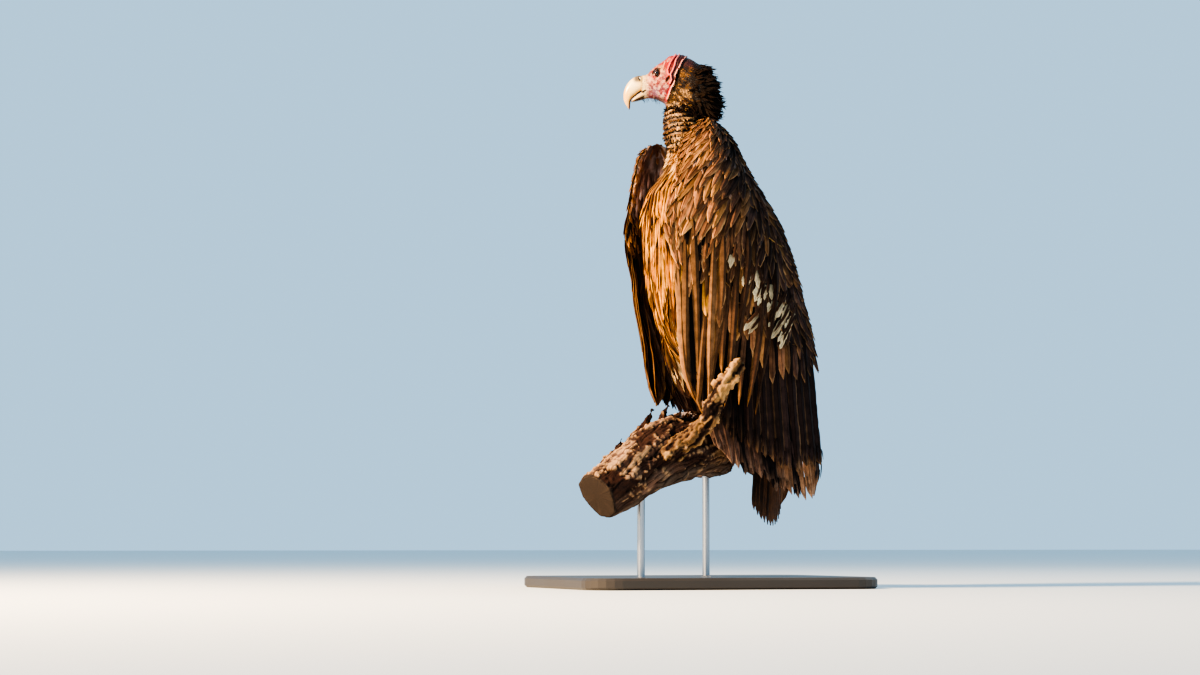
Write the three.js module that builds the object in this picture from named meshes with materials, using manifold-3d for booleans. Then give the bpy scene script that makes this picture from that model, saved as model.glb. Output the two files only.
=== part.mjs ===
// Life-size lappet-faced vulture on a cut length of dead branch, held on a plain display stand.
// Millimetres, +Z up. The origin is the centre of the base's underside.
// The bird faces -X, and its left side is -Y.
import * as THREE from "three";
import { mergeVertices } from "three/addons/utils/BufferGeometryUtils.js";
import Module from "manifold-3d";

const wasm = await Module();
wasm.setup();

// ---- driving dimensions ----
// The bird and its perch are shifted so that they stand over the base's middle.
const BIRD_SHIFT = new THREE.Vector3(45, -45, 0);
const GAP = 0.5; // clearance between neighbouring pieces
const LEFT = -1; // sign of Y on the bird's left side
const RIGHT = 1;

const BASE = { length: 640, width: 500, thickness: 24, corner: 60, bevel: 5 };
const ROD = { radius: 8 };

const WING = {
  covertThickness: 13, secondaryThickness: 5, primaryThickness: 4, secondaries: 14, primaries: 10,
};
const TAIL = { feathers: 12, thickness: 5 };
// Skull centre, and the head's turn in degrees to the bird's right.
const HEAD = { centre: new THREE.Vector3(-100, 0, 1064), turn: 19 };
const EYE = { radius: 9, forward: 48, up: 12, out: 15.6 };
const TOE = { radius: 8.5, claw: 24 };

// ---- small helpers ----
const vec = (x, y, z) => new THREE.Vector3(x, y, z);
const lerp = THREE.MathUtils.lerp;
const clamp = THREE.MathUtils.clamp;

// Smooth curve through [at, value] pairs, read at any `at`.
function profile(pairs) {
  return (at) => {
    const rising = pairs[0][0] < pairs[pairs.length - 1][0];
    const rows = rising ? pairs : [...pairs].reverse();
    if (at <= rows[0][0]) return rows[0][1];
    const last = rows.length - 1;
    if (at >= rows[last][0]) return rows[last][1];
    let i = 0;
    while (rows[i + 1][0] < at) i += 1;
    const slope = (k) => {
      const a = rows[Math.max(k - 1, 0)];
      const b = rows[Math.min(k + 1, last)];
      return (b[1] - a[1]) / (b[0] - a[0]);
    };
    const span = rows[i + 1][0] - rows[i][0];
    const t = (at - rows[i][0]) / span;
    const t2 = t * t;
    const t3 = t2 * t;
    return (2 * t3 - 3 * t2 + 1) * rows[i][1] + (t3 - 2 * t2 + t) * span * slope(i)
      + (3 * t2 - 2 * t3) * rows[i + 1][1] + (t3 - t2) * span * slope(i + 1);
  };
}

// A closed geometry from points and triangles, with its faces turned outwards.
function closed(points, triangles) {
  let volume = 0;
  for (const [a, b, c] of triangles) {
    volume += points[a].dot(vec().crossVectors(points[b], points[c]));
  }
  const index = triangles.flatMap(([a, b, c]) => (volume < 0 ? [a, c, b] : [a, b, c]));
  const geometry = new THREE.BufferGeometry().setFromPoints(points);
  geometry.setIndex(index);
  return geometry;
}

// Joins equal rings of points into a closed body, with a fan over each end.
function loft(rings) {
  const sides = rings[0].length;
  const points = rings.flat();
  const triangles = [];
  for (let r = 0; r < rings.length - 1; r += 1) {
    for (let s = 0; s < sides; s += 1) {
      const a = r * sides + s;
      const b = r * sides + ((s + 1) % sides);
      triangles.push([a, b, b + sides], [a, b + sides, a + sides]);
    }
  }
  const lastRing = rings.length - 1;
  for (const [ring, first, flip] of [[rings[0], 0, true], [rings[lastRing], lastRing * sides, false]]) {
    const middle = ring.reduce((sum, p) => sum.add(p), vec(0, 0, 0)).divideScalar(sides);
    const m = points.push(middle) - 1;
    for (let s = 0; s < sides; s += 1) {
      const a = first + s;
      const b = first + ((s + 1) % sides);
      triangles.push(flip ? [m, b, a] : [m, a, b]);
    }
  }
  return closed(points, triangles);
}

// An oval ring round a centre, in the plane of two directions.
function oval(centre, across, radiusAcross, along, radiusAlong, sides, power = 2) {
  return Array.from({ length: sides }, (_, i) => {
    const angle = (2 * Math.PI * i) / sides;
    const c = Math.cos(angle);
    const s = Math.sin(angle);
    const k = 1 / Math.pow(Math.pow(Math.abs(c), power) + Math.pow(Math.abs(s), power), 1 / power);
    return centre.clone()
      .addScaledVector(across, radiusAcross * c * k)
      .addScaledVector(along, radiusAlong * s * k);
  });
}

// A round tube through points, with a radius at each.
function tube(points, radii, sides, swell = () => 1) {
  let across = null;
  const rings = points.map((p, i) => {
    const next = points[Math.min(i + 1, points.length - 1)];
    const ahead = next.clone().sub(points[Math.max(i - 1, 0)]).normalize();
    const level = vec(0, 0, 1).cross(ahead);
    if (!across) across = level.lengthSq() > 1e-3 ? level : vec(0, 1, 0);
    across = across.clone().addScaledVector(ahead, -across.dot(ahead)).normalize();
    const side = vec().crossVectors(ahead, across);
    return Array.from({ length: sides }, (_, k) => {
      const angle = (2 * Math.PI * k) / sides;
      const r = radii[i] * swell(i / (points.length - 1), angle);
      return p.clone()
        .addScaledVector(across, r * Math.cos(angle))
        .addScaledVector(side, r * Math.sin(angle));
    });
  });
  return loft(rings);
}

// ---- joining and cutting ----
function solidOf(geometry) {
  const bare = new THREE.BufferGeometry().setAttribute("position", geometry.getAttribute("position"));
  bare.setIndex(geometry.getIndex());
  const merged = mergeVertices(bare, 1e-4);
  return new wasm.Manifold(new wasm.Mesh({
    numProp: 3,
    vertProperties: new Float32Array(merged.getAttribute("position").array),
    triVerts: new Uint32Array(merged.getIndex().array),
  }));
}

function geometryOf(solid) {
  const mesh = solid.getMesh();
  const geometry = new THREE.BufferGeometry();
  geometry.setAttribute("position", new THREE.BufferAttribute(new Float32Array(mesh.vertProperties), 3));
  geometry.setIndex(new THREE.BufferAttribute(new Uint32Array(mesh.triVerts), 1));
  return geometry;
}

const TIDY = 0.2; // how far a face may move when slivers left by the cuts are merged
const largest = (solid) => solid.decompose().sort((a, b) => b.volume() - a.volume())[0].simplify(TIDY);
const without = (solid, ...cutters) => cutters.reduce((left, c) => left.subtract(c), solid);
const slab = (sizeX, sizeY, sizeZ, centre, pitch = 0) => {
  const box = new THREE.BoxGeometry(sizeX, sizeY, sizeZ);
  box.deleteAttribute("normal");
  box.deleteAttribute("uv");
  box.rotateY(pitch).translate(centre.x, centre.y, centre.z);
  return solidOf(mergeVertices(box));
};

// ---- trunk, neck and head, modelled whole and parted by thin cuts ----
const trunkFront = profile([[420, -20], [450, -66], [490, -112], [520, -134], [560, -152], [600, -164],
  [650, -173], [700, -178], [760, -180], [800, -176], [825, -168], [850, -151], [870, -133], [890, -118],
  [925, -120], [960, -130]]);
const trunkBack = profile([[420, 70], [450, 88], [500, 98], [560, 110], [620, 120], [700, 117], [760, 94],
  [810, 62], [860, 26], [900, -4], [930, -32], [960, -50]]);
const trunkHalfWidth = profile([[420, 20], [450, 48], [490, 82], [530, 102], [600, 117], [700, 127], [780, 126],
  [830, 116], [870, 96], [900, 72], [930, 50], [960, 42]]);

// The shoulders fill out the body under the tops of the folded wings.
const SHOULDER = { x: -62, y: 66, z: 857, radii: [45, 56, 72] };
function shoulderSolid(side, grow) {
  const ball = new THREE.SphereGeometry(1, 11, 7).rotateX(Math.PI / 2);
  ball.deleteAttribute("normal");
  ball.deleteAttribute("uv");
  ball.scale(...SHOULDER.radii.map((r) => r + grow)).translate(SHOULDER.x, side * SHOULDER.y, SHOULDER.z);
  return solidOf(mergeVertices(ball));
}

function trunkSolid(grow = 0) {
  const rings = [];
  for (let z = 420; z <= 960; z += 45) {
    const front = trunkFront(z) - grow;
    const back = trunkBack(z) + grow;
    rings.push(oval(vec((front + back) / 2, 0, z), vec(1, 0, 0), (back - front) / 2, vec(0, 1, 0),
      trunkHalfWidth(z) + grow, 16, 2.15));
  }
  return solidOf(loft(rings)).add(shoulderSolid(LEFT, grow)).add(shoulderSolid(RIGHT, grow));
}

// Head sections run forward from the nape to the bill's base: [forward, top, bottom, half width].
const HEAD_SECTIONS = [[-86, -44, -62, 12], [-81, -20, -76, 28], [-70, 4, -82, 40], [-56, 26, -84, 46],
  [-40, 36, -82, 46], [-25, 46, -76, 43], [-10, 52.5, -70, 40], [6, 54.5, -64, 37.5], [22, 50, -57, 35],
  [35, 40.5, -48, 31], [48, 32, -41, 26.5], [59, 23, -39, 22], [68, 13.5, -38.5, 18], [75, 11, -40, 16],
  [81.5, 10, -42, 14.5]];
const turned = THREE.MathUtils.degToRad(HEAD.turn);
const headForward = vec(-Math.cos(turned), Math.sin(turned), 0);
const headSide = vec(Math.sin(turned), Math.cos(turned), 0); // towards the bird's right
const inHead = (forward, up, right) => HEAD.centre.clone().addScaledVector(headForward, forward)
  .addScaledVector(vec(0, 0, 1), up).addScaledVector(headSide, right);

function headSolid() {
  const rings = HEAD_SECTIONS.map(([forward, top, bottom, half]) =>
    oval(inHead(forward, (top + bottom) / 2, 0), headSide, half, vec(0, 0, 1), (top - bottom) / 2, 14, 2.2));
  return solidOf(loft(rings));
}

const NECK = [[vec(-70, 0, 880), 54], [vec(-80, 0, 915), 44], [vec(-92, 0, 950), 44.5],
  [vec(-92, 0, 980), 43.5],
  [vec(-89, 0, 1004), 41], [vec(-88, 0, 1026), 33]];
const neckSolid = () => solidOf(tube(NECK.map((n) => n[0]), NECK.map((n) => n[1]), 14));

// ---- wings: thin plates over the bird's side, laid out in side view and pushed out to the flank ----
const wingFront = profile([[170, 160], [178, 112], [203, 45], [231, -17], [264, -48], [340, -90], [392, -122],
  [440, -136], [520, -142], [600, -154], [655, -158], [690, -166], [750, -175], [800, -168], [850, -157],
  [886, -146], [915, -134], [938, -119], [955, -104], [970, -84], [978, -66]]);
const wingRear = profile([[170, 168], [235, 194], [300, 203], [386, 206], [432, 205], [512, 193], [569, 178],
  [625, 163], [690, 142], [728, 127], [760, 110], [789, 89], [812, 71], [838, 49], [861, 31], [886, 14],
  [915, -1], [935, -14], [955, -31], [970, -47], [978, -58]]);
const wingRearY = profile([[170, 84], [260, 62], [340, 34], [450, 10], [690, 7], [728, 12], [760, 20],
  [789, 30], [812, 40], [838, 49], [861, 57], [886, 64], [922, 69], [950, 66], [978, 62]]);
const wingOutY = profile([[170, 98], [250, 114], [330, 126], [400, 136], [460, 142], [540, 152], [620, 160],
  [700, 164], [780, 163], [850, 157], [900, 146], [930, 133], [955, 114], [970, 98], [978, 82]]);
const WING_BULGE = 0.36; // where along its depth the wing stands out most
// How far the leading edge turns in: a little down the wing, and right round the wrist at its top.
const leadingTuck = profile([[760, 18], [820, 26], [870, 44], [910, 54], [940, 46], [978, 22]]);

// The right wing's wrist, and the left wing's whole leading edge, stand further forward.
const WING_FORWARD = {
  [LEFT]: profile([[370, 0], [440, -8], [520, -14], [600, -17], [780, -11], [838, 1], [867, 0], [940, -1],
    [978, -4]]),
  [RIGHT]: profile([[790, 0], [837, -9], [887, -22], [926, -33], [948, -33], [968, -18]]),
};
const frontOf = (z, side) => wingFront(z) + WING_FORWARD[side](z);

// Distance of the wing's outer face from the bird's mid plane.
function wingOut(x, z, side) {
  const front = frontOf(z, side);
  const rear = wingRear(z);
  const s = clamp((x - front) / Math.max(rear - front, 1), -0.1, 1);
  const out = wingOutY(z);
  if (s < WING_BULGE) return out - leadingTuck(z) * Math.pow(1 - s / WING_BULGE, 2);
  const k = (s - WING_BULGE) / (1 - WING_BULGE);
  return lerp(wingRearY(z), out, Math.sqrt(Math.max(0, 1 - k * k)));
}

const onWing = (x, z, depth, side) => {
  const step = 4;
  const slopeX = (wingOut(x + step, z, side) - wingOut(x - step, z, side)) / (2 * step);
  const slopeZ = (wingOut(x, z + step, side) - wingOut(x, z - step, side)) / (2 * step);
  const normal = vec(-clamp(slopeX, -2.5, 2.5), 1, -clamp(slopeZ, -1, 1)).normalize();
  const p = vec(x, wingOut(x, z, side), z).addScaledVector(normal, -depth);
  return vec(p.x, p.y * side, p.z);
};

// A closed plate between an outer and an inner face, each a grid of points from place(column, row, depth).
function plate(columns, rows, place, top, thickness) {
  const width = columns + 1;
  const layer = width * (rows + 1);
  const points = [];
  for (const depth of [0, 1]) {
    for (let r = 0; r <= rows; r += 1) {
      for (let c = 0; c <= columns; c += 1) points.push(place(c / columns, r / rows, top + depth * thickness));
    }
  }
  const triangles = [];
  const quad = (a, b, c, d) => triangles.push([a, b, c], [a, c, d]);
  for (let r = 0; r < rows; r += 1) {
    for (let c = 0; c < columns; c += 1) {
      const a = r * width + c;
      quad(a, a + 1, a + width + 1, a + width);
      quad(a + layer, a + layer + width, a + layer + width + 1, a + layer + 1);
    }
  }
  for (let c = 0; c < columns; c += 1) {
    quad(c, c + layer, c + 1 + layer, c + 1);
    const e = rows * width + c;
    quad(e, e + 1, e + 1 + layer, e + layer);
  }
  for (let r = 0; r < rows; r += 1) {
    const a = r * width;
    quad(a, a + width, a + width + layer, a + layer);
    const e = a + columns;
    quad(e, e + layer, e + width + layer, e + width);
  }
  return closed(points, triangles);
}

const covertEnd = profile([[0, 716], [0.13, 700], [0.25, 660], [0.35, 606], [0.52, 545], [0.7, 512], [1, 478]]);
const TOP_OF_WING = { [LEFT]: 977, [RIGHT]: 943 };
// 0 between feathers and 1 at the middle of each, for tips that end in points.
const tipOf = (c, count) => 1 - Math.abs(2 * ((c * count) % 1) - 1);
const bend = (a, b, c, t) => (1 - t) * (1 - t) * a + 2 * t * (1 - t) * b + t * t * c;

function covertsGeometry(side, grow = 0) {
  const place = (c, r, depth) => {
    const end = covertEnd(c) - 16 * tipOf(Math.min(c, 0.999), 9) - grow;
    const z = lerp(TOP_OF_WING[side] + grow, end, Math.pow(r, 1.35));
    const x = lerp(frontOf(z, side) - grow, wingRear(z) + grow, c);
    return onWing(x, z, depth, side);
  };
  return plate(18, 6, place, -grow, WING.covertThickness + 2 * grow);
}

// Flight feathers fan from a root line, over a knee, to a tip line.
// Each is a curve of three points in side view.
const SECONDARY_FAN = {
  rootX: profile([[0, -150], [0.25, -92], [0.5, -22], [0.75, 62], [1, 150]]),
  kneeX: profile([[0, -146], [0.25, -98], [0.5, -16], [0.75, 76], [1, 190]]),
  kneeZ: profile([[0, 560], [0.5, 470], [1, 420]]),
  tipX: profile([[0, -124], [0.2, -86], [0.4, -30], [0.6, 40], [0.8, 116], [1, 192]]),
  tipZ: { [LEFT]: profile([[0, 402], [0.2, 352], [0.4, 322], [0.6, 330], [0.8, 292], [1, 262]]),
    [RIGHT]: profile([[0, 408], [0.2, 386], [0.4, 366], [0.6, 362], [0.8, 300], [1, 262]]) },
};
function secondariesGeometry(side, grow = 0) {
  const fan = SECONDARY_FAN;
  const place = (c, r, depth) => {
    const share = (fan.rootX(c) - wingFront(620)) / (wingRear(620) - wingFront(620));
    const rootZ = covertEnd(clamp(share, 0, 1)) + 8;
    const reach = lerp(0.9, 1, tipOf(Math.min(c, 0.999), WING.secondaries));
    const t = r * reach;
    const x = bend(fan.rootX(c), fan.kneeX(c), fan.tipX(c), t);
    const z = bend(rootZ, fan.kneeZ(c), fan.tipZ[side](c), t);
    return onWing(clamp(x, frontOf(z, side) + 1, wingRear(z) - 1), z, depth, side);
  };
  const depth = 2.5;
  return plate(WING.secondaries * 2, 4, place, depth - grow, WING.secondaryThickness + 2 * grow);
}

const PRIMARY_FAN = {
  rootX: profile([[0, -157], [1, -70]]),
  rootZ: profile([[0, 640], [1, 600]]),
  kneeX: { [LEFT]: profile([[0, -150], [1, 70]]), [RIGHT]: profile([[0, -140], [1, 70]]) },
  kneeZ: { [LEFT]: profile([[0, 236], [1, 460]]), [RIGHT]: profile([[0, 400], [1, 470]]) },
  tipX: profile([[0, 112], [0.35, 165], [0.7, 194], [1, 206]]),
  tipZ: profile([[0, 182], [0.3, 171], [0.65, 238], [1, 380]]),
};
function primariesGeometry(side, grow = 0) {
  const fan = PRIMARY_FAN;
  const place = (c, r, depth) => {
    const reach = lerp(0.9, 1, tipOf(Math.min(c, 0.999), WING.primaries));
    const t = r * reach;
    const x = bend(fan.rootX(c), fan.kneeX[side](c), fan.tipX(c), t);
    const z = bend(fan.rootZ(c), fan.kneeZ[side](c), fan.tipZ(c), t);
    return onWing(clamp(x, frontOf(z, side) + 1, wingRear(z) - 1), z, depth, side);
  };
  const depth = 5 + WING.secondaryThickness;
  return plate(WING.primaries * 2, 5, place, depth - grow, WING.primaryThickness + 2 * grow);
}

// ---- tail: a fan of twelve feathers hanging close behind the perch ----
function tailGeometry(grow = 0) {
  const place = (c, r, depth) => {
    const across = 2 * c - 1;
    const reach = lerp(0.93, 1, tipOf(Math.min(c, 0.999), TAIL.feathers)) - 0.11 * across * across;
    const t = r * reach;
    const half = lerp(38, 82, Math.pow(t, 0.8)) + grow;
    const arch = 16 * across * across;
    const x = lerp(116, 105, t) - arch * lerp(1, 0.7, t);
    return vec(x - depth, across * half, lerp(498 + grow, 130, t));
  };
  return plate(TAIL.feathers * 2, 3, place, -grow, TAIL.thickness + 2 * grow);
}

// ---- bill, in head coordinates ----
const BILL_TOP = [[82, 9.6], [90, 9], [98, 5], [106, -2], [113.5, -12.5], [118, -26], [118, -41],
  [113, -53], [107, -62]];
const BILL_EDGE = [[82, -25], [86, -27.5], [91, -31], [96.5, -35.5], [101, -40], [103.5, -45], [104.2, -51],
  [104.6, -57], [105.6, -62.3]];
const BILL_HALF_WIDTH = [14.5, 14.2, 13.4, 12.2, 10.6, 8.6, 6.4, 4, 1.2];
const BILL_SIDES = 12;
function billUpperGeometry() {
  const rings = BILL_TOP.map(([ft, ut], i) => {
    const [fe, ue] = BILL_EDGE[i];
    const centre = inHead((ft + fe) / 2, (ut + ue) / 2, 0);
    const along = inHead(ft, ut, 0).sub(centre);
    const up = along.clone().normalize();
    return oval(centre, headSide, BILL_HALF_WIDTH[i], up, along.length(), BILL_SIDES, 2.3);
  });
  return loft(rings);
}

const MANDIBLE = [[82, -26.2, -42.3, 12.5], [88, -30, -44, 11.6], [94, -34.6, -45.3, 10], [99, -39.2, -46, 7.6],
  [102.2, -43.2, -46.4, 3.6]];
function billLowerGeometry() {
  return loft(MANDIBLE.map(([forward, top, bottom, half]) => {
    const centre = inHead(forward, (top + bottom) / 2, 0);
    return oval(centre, headSide, half, vec(0, 0, 1), (top - bottom) / 2, BILL_SIDES, 2.2);
  }));
}

const eyeCentre = (side) => inHead(EYE.forward, EYE.up, side * EYE.out);
const eyeGeometry = (side, grow = 0) => {
  const ball = new THREE.SphereGeometry(EYE.radius + grow, 10, 7);
  ball.deleteAttribute("normal");
  ball.deleteAttribute("uv");
  ball.translate(...eyeCentre(side).toArray());
  return mergeVertices(ball);
};

// ---- perch: a crooked, knobbly dead limb ----
const LIMB = [[-322, -112, 187, 49], [-245, -86, 233, 58], [-165, -58, 274, 68], [-90, -20, 288, 64],
  [-20, 28, 294, 54], [20, 100, 282, 45], [26, 180, 274, 40], [30, 250, 274, 37]];
// Splinters left standing along the limb's crest: [foot, tip, radius].
const SPLINTERS = [[vec(-238, -56, 262), vec(-170, -26, 372), 27],
  [vec(-165, -20, 312), vec(-124, 4, 386), 17], [vec(-302, -92, 228), vec(-252, -66, 308), 20]];
const limbCurve = new THREE.CatmullRomCurve3(LIMB.map(([x, y, z]) => vec(x, y, z)));
const LIMB_STEPS = 16;
const limbPoints = limbCurve.getSpacedPoints(LIMB_STEPS);
const limbRadiusAt = (p) => {
  let best = 0;
  for (let i = 1; i < LIMB.length; i += 1) {
    if (p.distanceToSquared(vec(...LIMB[i])) < p.distanceToSquared(vec(...LIMB[best]))) best = i;
  }
  const other = best === 0 ? 1 : best === LIMB.length - 1 ? best - 1
    : p.distanceTo(vec(...LIMB[best + 1])) < p.distanceTo(vec(...LIMB[best - 1])) ? best + 1 : best - 1;
  const a = p.distanceTo(vec(...LIMB[best]));
  const b = p.distanceTo(vec(...LIMB[other]));
  return lerp(LIMB[best][3], LIMB[other][3], a / (a + b));
};
const knobs = (t, angle) => 1 + 0.05 * Math.sin(3 * angle + 9 * t) + 0.04 * Math.sin(5 * angle - 23 * t)
  + 0.03 * Math.sin(41 * t + 2 * angle);
function limbSolid(grow = 0) {
  return solidOf(tube(limbPoints, limbPoints.map((p) => limbRadiusAt(p) + grow), 11, knobs));
}

function splinterSolid([foot, tip, radius]) {
  const steps = [0, 0.35, 0.7, 1];
  const path = steps.map((t) => foot.clone().lerp(tip, t));
  return solidOf(tube(path, steps.map((t) => radius * (1.05 - 0.95 * t)), 7));
}

// Height of the limb's upper face at a point in plan.
function limbTop(x, y) {
  let top = -Infinity;
  for (const p of limbCurve.getPoints(160)) {
    const r = limbRadiusAt(p);
    const d2 = (p.x - x) ** 2 + (p.y - y) ** 2;
    if (d2 < r * r) top = Math.max(top, p.z + Math.sqrt(r * r - d2));
  }
  return top;
}

// The snag runs forward along the limb's near face as a root, then bends up beside the wing.
const SNAG = [[vec(-212, -112, 254), 13], [vec(-170, -122, 281), 18], [vec(-137, -130, 303), 20],
  [vec(-112, -146, 325), 19.5], [vec(-98, -168, 354), 18], [vec(-92, -178, 384), 18.5],
  [vec(-74, -185, 415), 15.5],
  [vec(-42, -188, 458), 13.5]];
function snagSolid() {
  const curve = new THREE.CatmullRomCurve3(SNAG.map((s) => s[0]));
  const steps = 15;
  const radius = profile(SNAG.map((s, i) => [i / (SNAG.length - 1), s[1]]));
  const points = curve.getPoints(steps);
  const knotty = (t, angle) => 1 + 0.14 * Math.sin(31 * t + angle) + 0.08 * Math.sin(3 * angle + 17 * t);
  return solidOf(tube(points, points.map((_, i) => radius(i / steps)), 8, knotty));
}

// ---- legs and feet ----
const HIP = { x: -52, y: 58, z: 560 };
const FEET = { [LEFT]: { x: -50, y: -42 }, [RIGHT]: { x: -34, y: 44 } };
const ankle = (side) => vec(FEET[side].x + 4, FEET[side].y, limbTop(FEET[side].x, FEET[side].y) + 15);

function thighSolid(side) {
  const rings = [[vec(HIP.x, side * HIP.y, HIP.z), 56, 46], [vec(-58, side * 60, 520), 62, 45],
    [vec(-60, side * 59, 480), 56, 40], [vec(-56, side * 57, 446), 46, 34], [vec(-50, side * 54, 418), 36, 27],
    [vec(-44, side * 51, 396), 25, 20]];
  return solidOf(loft(rings.map(([p, a, b]) => oval(p, vec(1, 0, 0), a, vec(0, 1, 0), b, 14))));
}
function shankSolid(side, grow = 0) {
  const top = vec(-38, side * 51, 420);
  const foot = ankle(side);
  const points = [top, top.clone().lerp(foot, 0.4), top.clone().lerp(foot, 0.8), foot];
  return solidOf(tube(points, [11, 9.5, 9.5, 11.5].map((r) => r + grow), 9));
}

// Toes run over the limb from the ankle: [degrees off straight ahead, length, lowest height].
// The last is the hind toe.
// The left foot's outer toe reaches across to grip the snag.
const SNAG_GRIP = 336;
const TOES = {
  [LEFT]: [[50, 98, SNAG_GRIP], [2, 84, 0], [-30, 64, 0], [-176, 42, 0]],
  [RIGHT]: [[-34, 62, 0], [-2, 84, 0], [30, 64, 0], [176, 42, 0]],
};
const TOE_STEPS = 4;
function toePath(side, [angle, length, lowest]) {
  const foot = FEET[side];
  const heading = THREE.MathUtils.degToRad(180 + angle);
  const points = [];
  let x = foot.x;
  let y = foot.y;
  let z = limbTop(x, y);
  const step = length / TOE_STEPS;
  for (let i = 0; i <= TOE_STEPS; i += 1) {
    points.push(vec(x, y, z + TOE.radius * 0.8));
    const ahead = limbTop(x + Math.cos(heading) * 4, y + Math.sin(heading) * 4);
    const slope = ahead > -Infinity ? clamp((ahead - z) / 4, -1.6, 0.8) : -1.6;
    const run = step / Math.hypot(1, slope);
    x += Math.cos(heading) * run;
    y += Math.sin(heading) * run;
    z = Math.max(z + slope * run, limbTop(x, y), lowest);
  }
  return points;
}
function toeSolid(path, grow = 0) {
  const radius = (i) => TOE.radius * (1 - 0.28 * (i / TOE_STEPS)) * (i % 2 ? 1.05 : 0.97) + grow;
  return solidOf(tube(path, path.map((_, i) => radius(i)), 6));
}
function clawGeometry(path, grow = 0) {
  const end = path[TOE_STEPS];
  const ahead = end.clone().sub(path[TOE_STEPS - 1]).normalize();
  const points = [];
  const radii = [];
  const steps = 4;
  const p = end.clone().addScaledVector(ahead, 1.2);
  for (let i = 0; i <= steps; i += 1) {
    points.push(p.clone());
    radii.push(lerp(5.2, 0.7, Math.pow(i / steps, 0.9)) + grow);
    p.addScaledVector(ahead, TOE.claw / steps);
    ahead.z -= 0.2;
    ahead.normalize();
  }
  return tube(points, radii, 5);
}

// ---- stand ----
function baseGeometry() {
  const shape = new THREE.Shape();
  const halfX = BASE.length / 2 - BASE.bevel;
  const halfY = BASE.width / 2 - BASE.bevel;
  const r = BASE.corner;
  shape.moveTo(-halfX + r, -halfY);
  shape.lineTo(halfX - r, -halfY);
  shape.absarc(halfX - r, -halfY + r, r, -Math.PI / 2, 0);
  shape.lineTo(halfX, halfY - r);
  shape.absarc(halfX - r, halfY - r, r, 0, Math.PI / 2);
  shape.lineTo(-halfX + r, halfY);
  shape.absarc(-halfX + r, halfY - r, r, Math.PI / 2, Math.PI);
  shape.lineTo(-halfX, -halfY + r);
  shape.absarc(-halfX + r, -halfY + r, r, Math.PI, 1.5 * Math.PI);
  const plain = new THREE.ExtrudeGeometry(shape, {
    depth: BASE.thickness - 2 * BASE.bevel, bevelSize: BASE.bevel, bevelThickness: BASE.bevel,
    bevelSegments: 1, curveSegments: 3,
  });
  return plain.translate(0, 0, BASE.bevel);
}
// A rod stands on the base and ends under the limb.
const ROD_PLACES = [[-215, -74], [22, 170]];
function rodSolid([x, y], limb) {
  const bottom = BASE.thickness + GAP;
  const height = 300 - bottom;
  const rod = new THREE.CylinderGeometry(ROD.radius, ROD.radius, height, 12);
  rod.deleteAttribute("normal");
  rod.deleteAttribute("uv");
  rod.rotateX(Math.PI / 2).translate(x, y, bottom + height / 2);
  const parts = solidOf(mergeVertices(rod)).subtract(limb).decompose();
  return parts.sort((a, b) => a.boundingBox().min[2] - b.boundingBox().min[2])[0];
}

// ---- materials ----
const paint = (color, roughness, metalness = 0) =>
  new THREE.MeshStandardMaterial({ color, roughness, metalness });
const SKIN = paint("#c98f86", 0.6);
const DOWN = paint("#7a5a3e", 0.9);
const BREAST = paint("#b08a58", 0.9);
const FEATHER = paint("#7b5536", 0.85);
const FLIGHT = paint("#3d2b20", 0.8);
const HORN = paint("#d8c39a", 0.4);
const CLAW = paint("#2b2521", 0.35);
const EYEBALL = paint("#1c120c", 0.1);
const LEG = paint("#a39a92", 0.7);
const WOOD = paint("#8d7253", 0.95);
const STAND = paint("#2f2a26", 0.5);
const STEEL = paint("#8b8d90", 0.35, 1);

// ---- assembly ----
const bird = new THREE.Group();
bird.position.copy(BIRD_SHIFT);
const whole = new THREE.Group();
whole.add(bird);
function add(name, shape, material, parent = bird) {
  const geometry = shape.isBufferGeometry ? shape : geometryOf(shape);
  const mesh = new THREE.Mesh(geometry, material);
  mesh.name = name;
  parent.add(mesh);
  return mesh;
}

const limbRoom = limbSolid(1.5 * GAP);
const wingPlates = [LEFT, RIGHT].flatMap((side) => [covertsGeometry, secondariesGeometry, primariesGeometry]
  .map((make) => solidOf(make(side, GAP / 2)).add(solidOf(make(side, 2 * GAP)))));
const tail = solidOf(tailGeometry());
const body = trunkSolid().add(neckSolid()).add(headSolid());
const eyes = [LEFT, RIGHT].map((side) => solidOf(eyeGeometry(side, GAP)));
const bodyCut = without(body, ...wingPlates, solidOf(tailGeometry(GAP)), ...eyes);
const NECK_BASE = 902;
const HEAD_BASE = 1004;
const wide = 900;
const below = (z) => slab(wide, wide, 2000, vec(0, 0, z - 1000 - GAP / 2));
const above = (z) => slab(wide, wide, 2000, vec(0, 0, z + 1000 + GAP / 2));
add("trunk", largest(bodyCut.intersect(below(NECK_BASE))), BREAST);
add("neck", largest(bodyCut.intersect(above(NECK_BASE)).intersect(below(HEAD_BASE))), DOWN);
add("head", largest(bodyCut.intersect(above(HEAD_BASE))), SKIN);
add("bill_upper", billUpperGeometry(), HORN);
add("bill_lower", billLowerGeometry(), HORN);

for (const [side, word] of [[LEFT, "left"], [RIGHT, "right"]]) {
  add(`eye_${word}`, eyeGeometry(side), EYEBALL);
  const coverts = solidOf(covertsGeometry(side));
  add(`wing_${word}_coverts`, coverts, FEATHER);
  const covering = solidOf(covertsGeometry(side, 2 * GAP));
  const secondaries = largest(without(solidOf(secondariesGeometry(side)), covering, limbRoom));
  add(`wing_${word}_secondaries`, secondaries, FEATHER);
  const over = [covering, solidOf(secondariesGeometry(side, 2 * GAP)), solidOf(tailGeometry(2 * GAP))];
  const primaries = largest(without(solidOf(primariesGeometry(side)), ...over, limbRoom));
  add(`wing_${word}_primaries`, primaries, FLIGHT);
}
add("tail", largest(without(tail, limbRoom)), FLIGHT);

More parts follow.
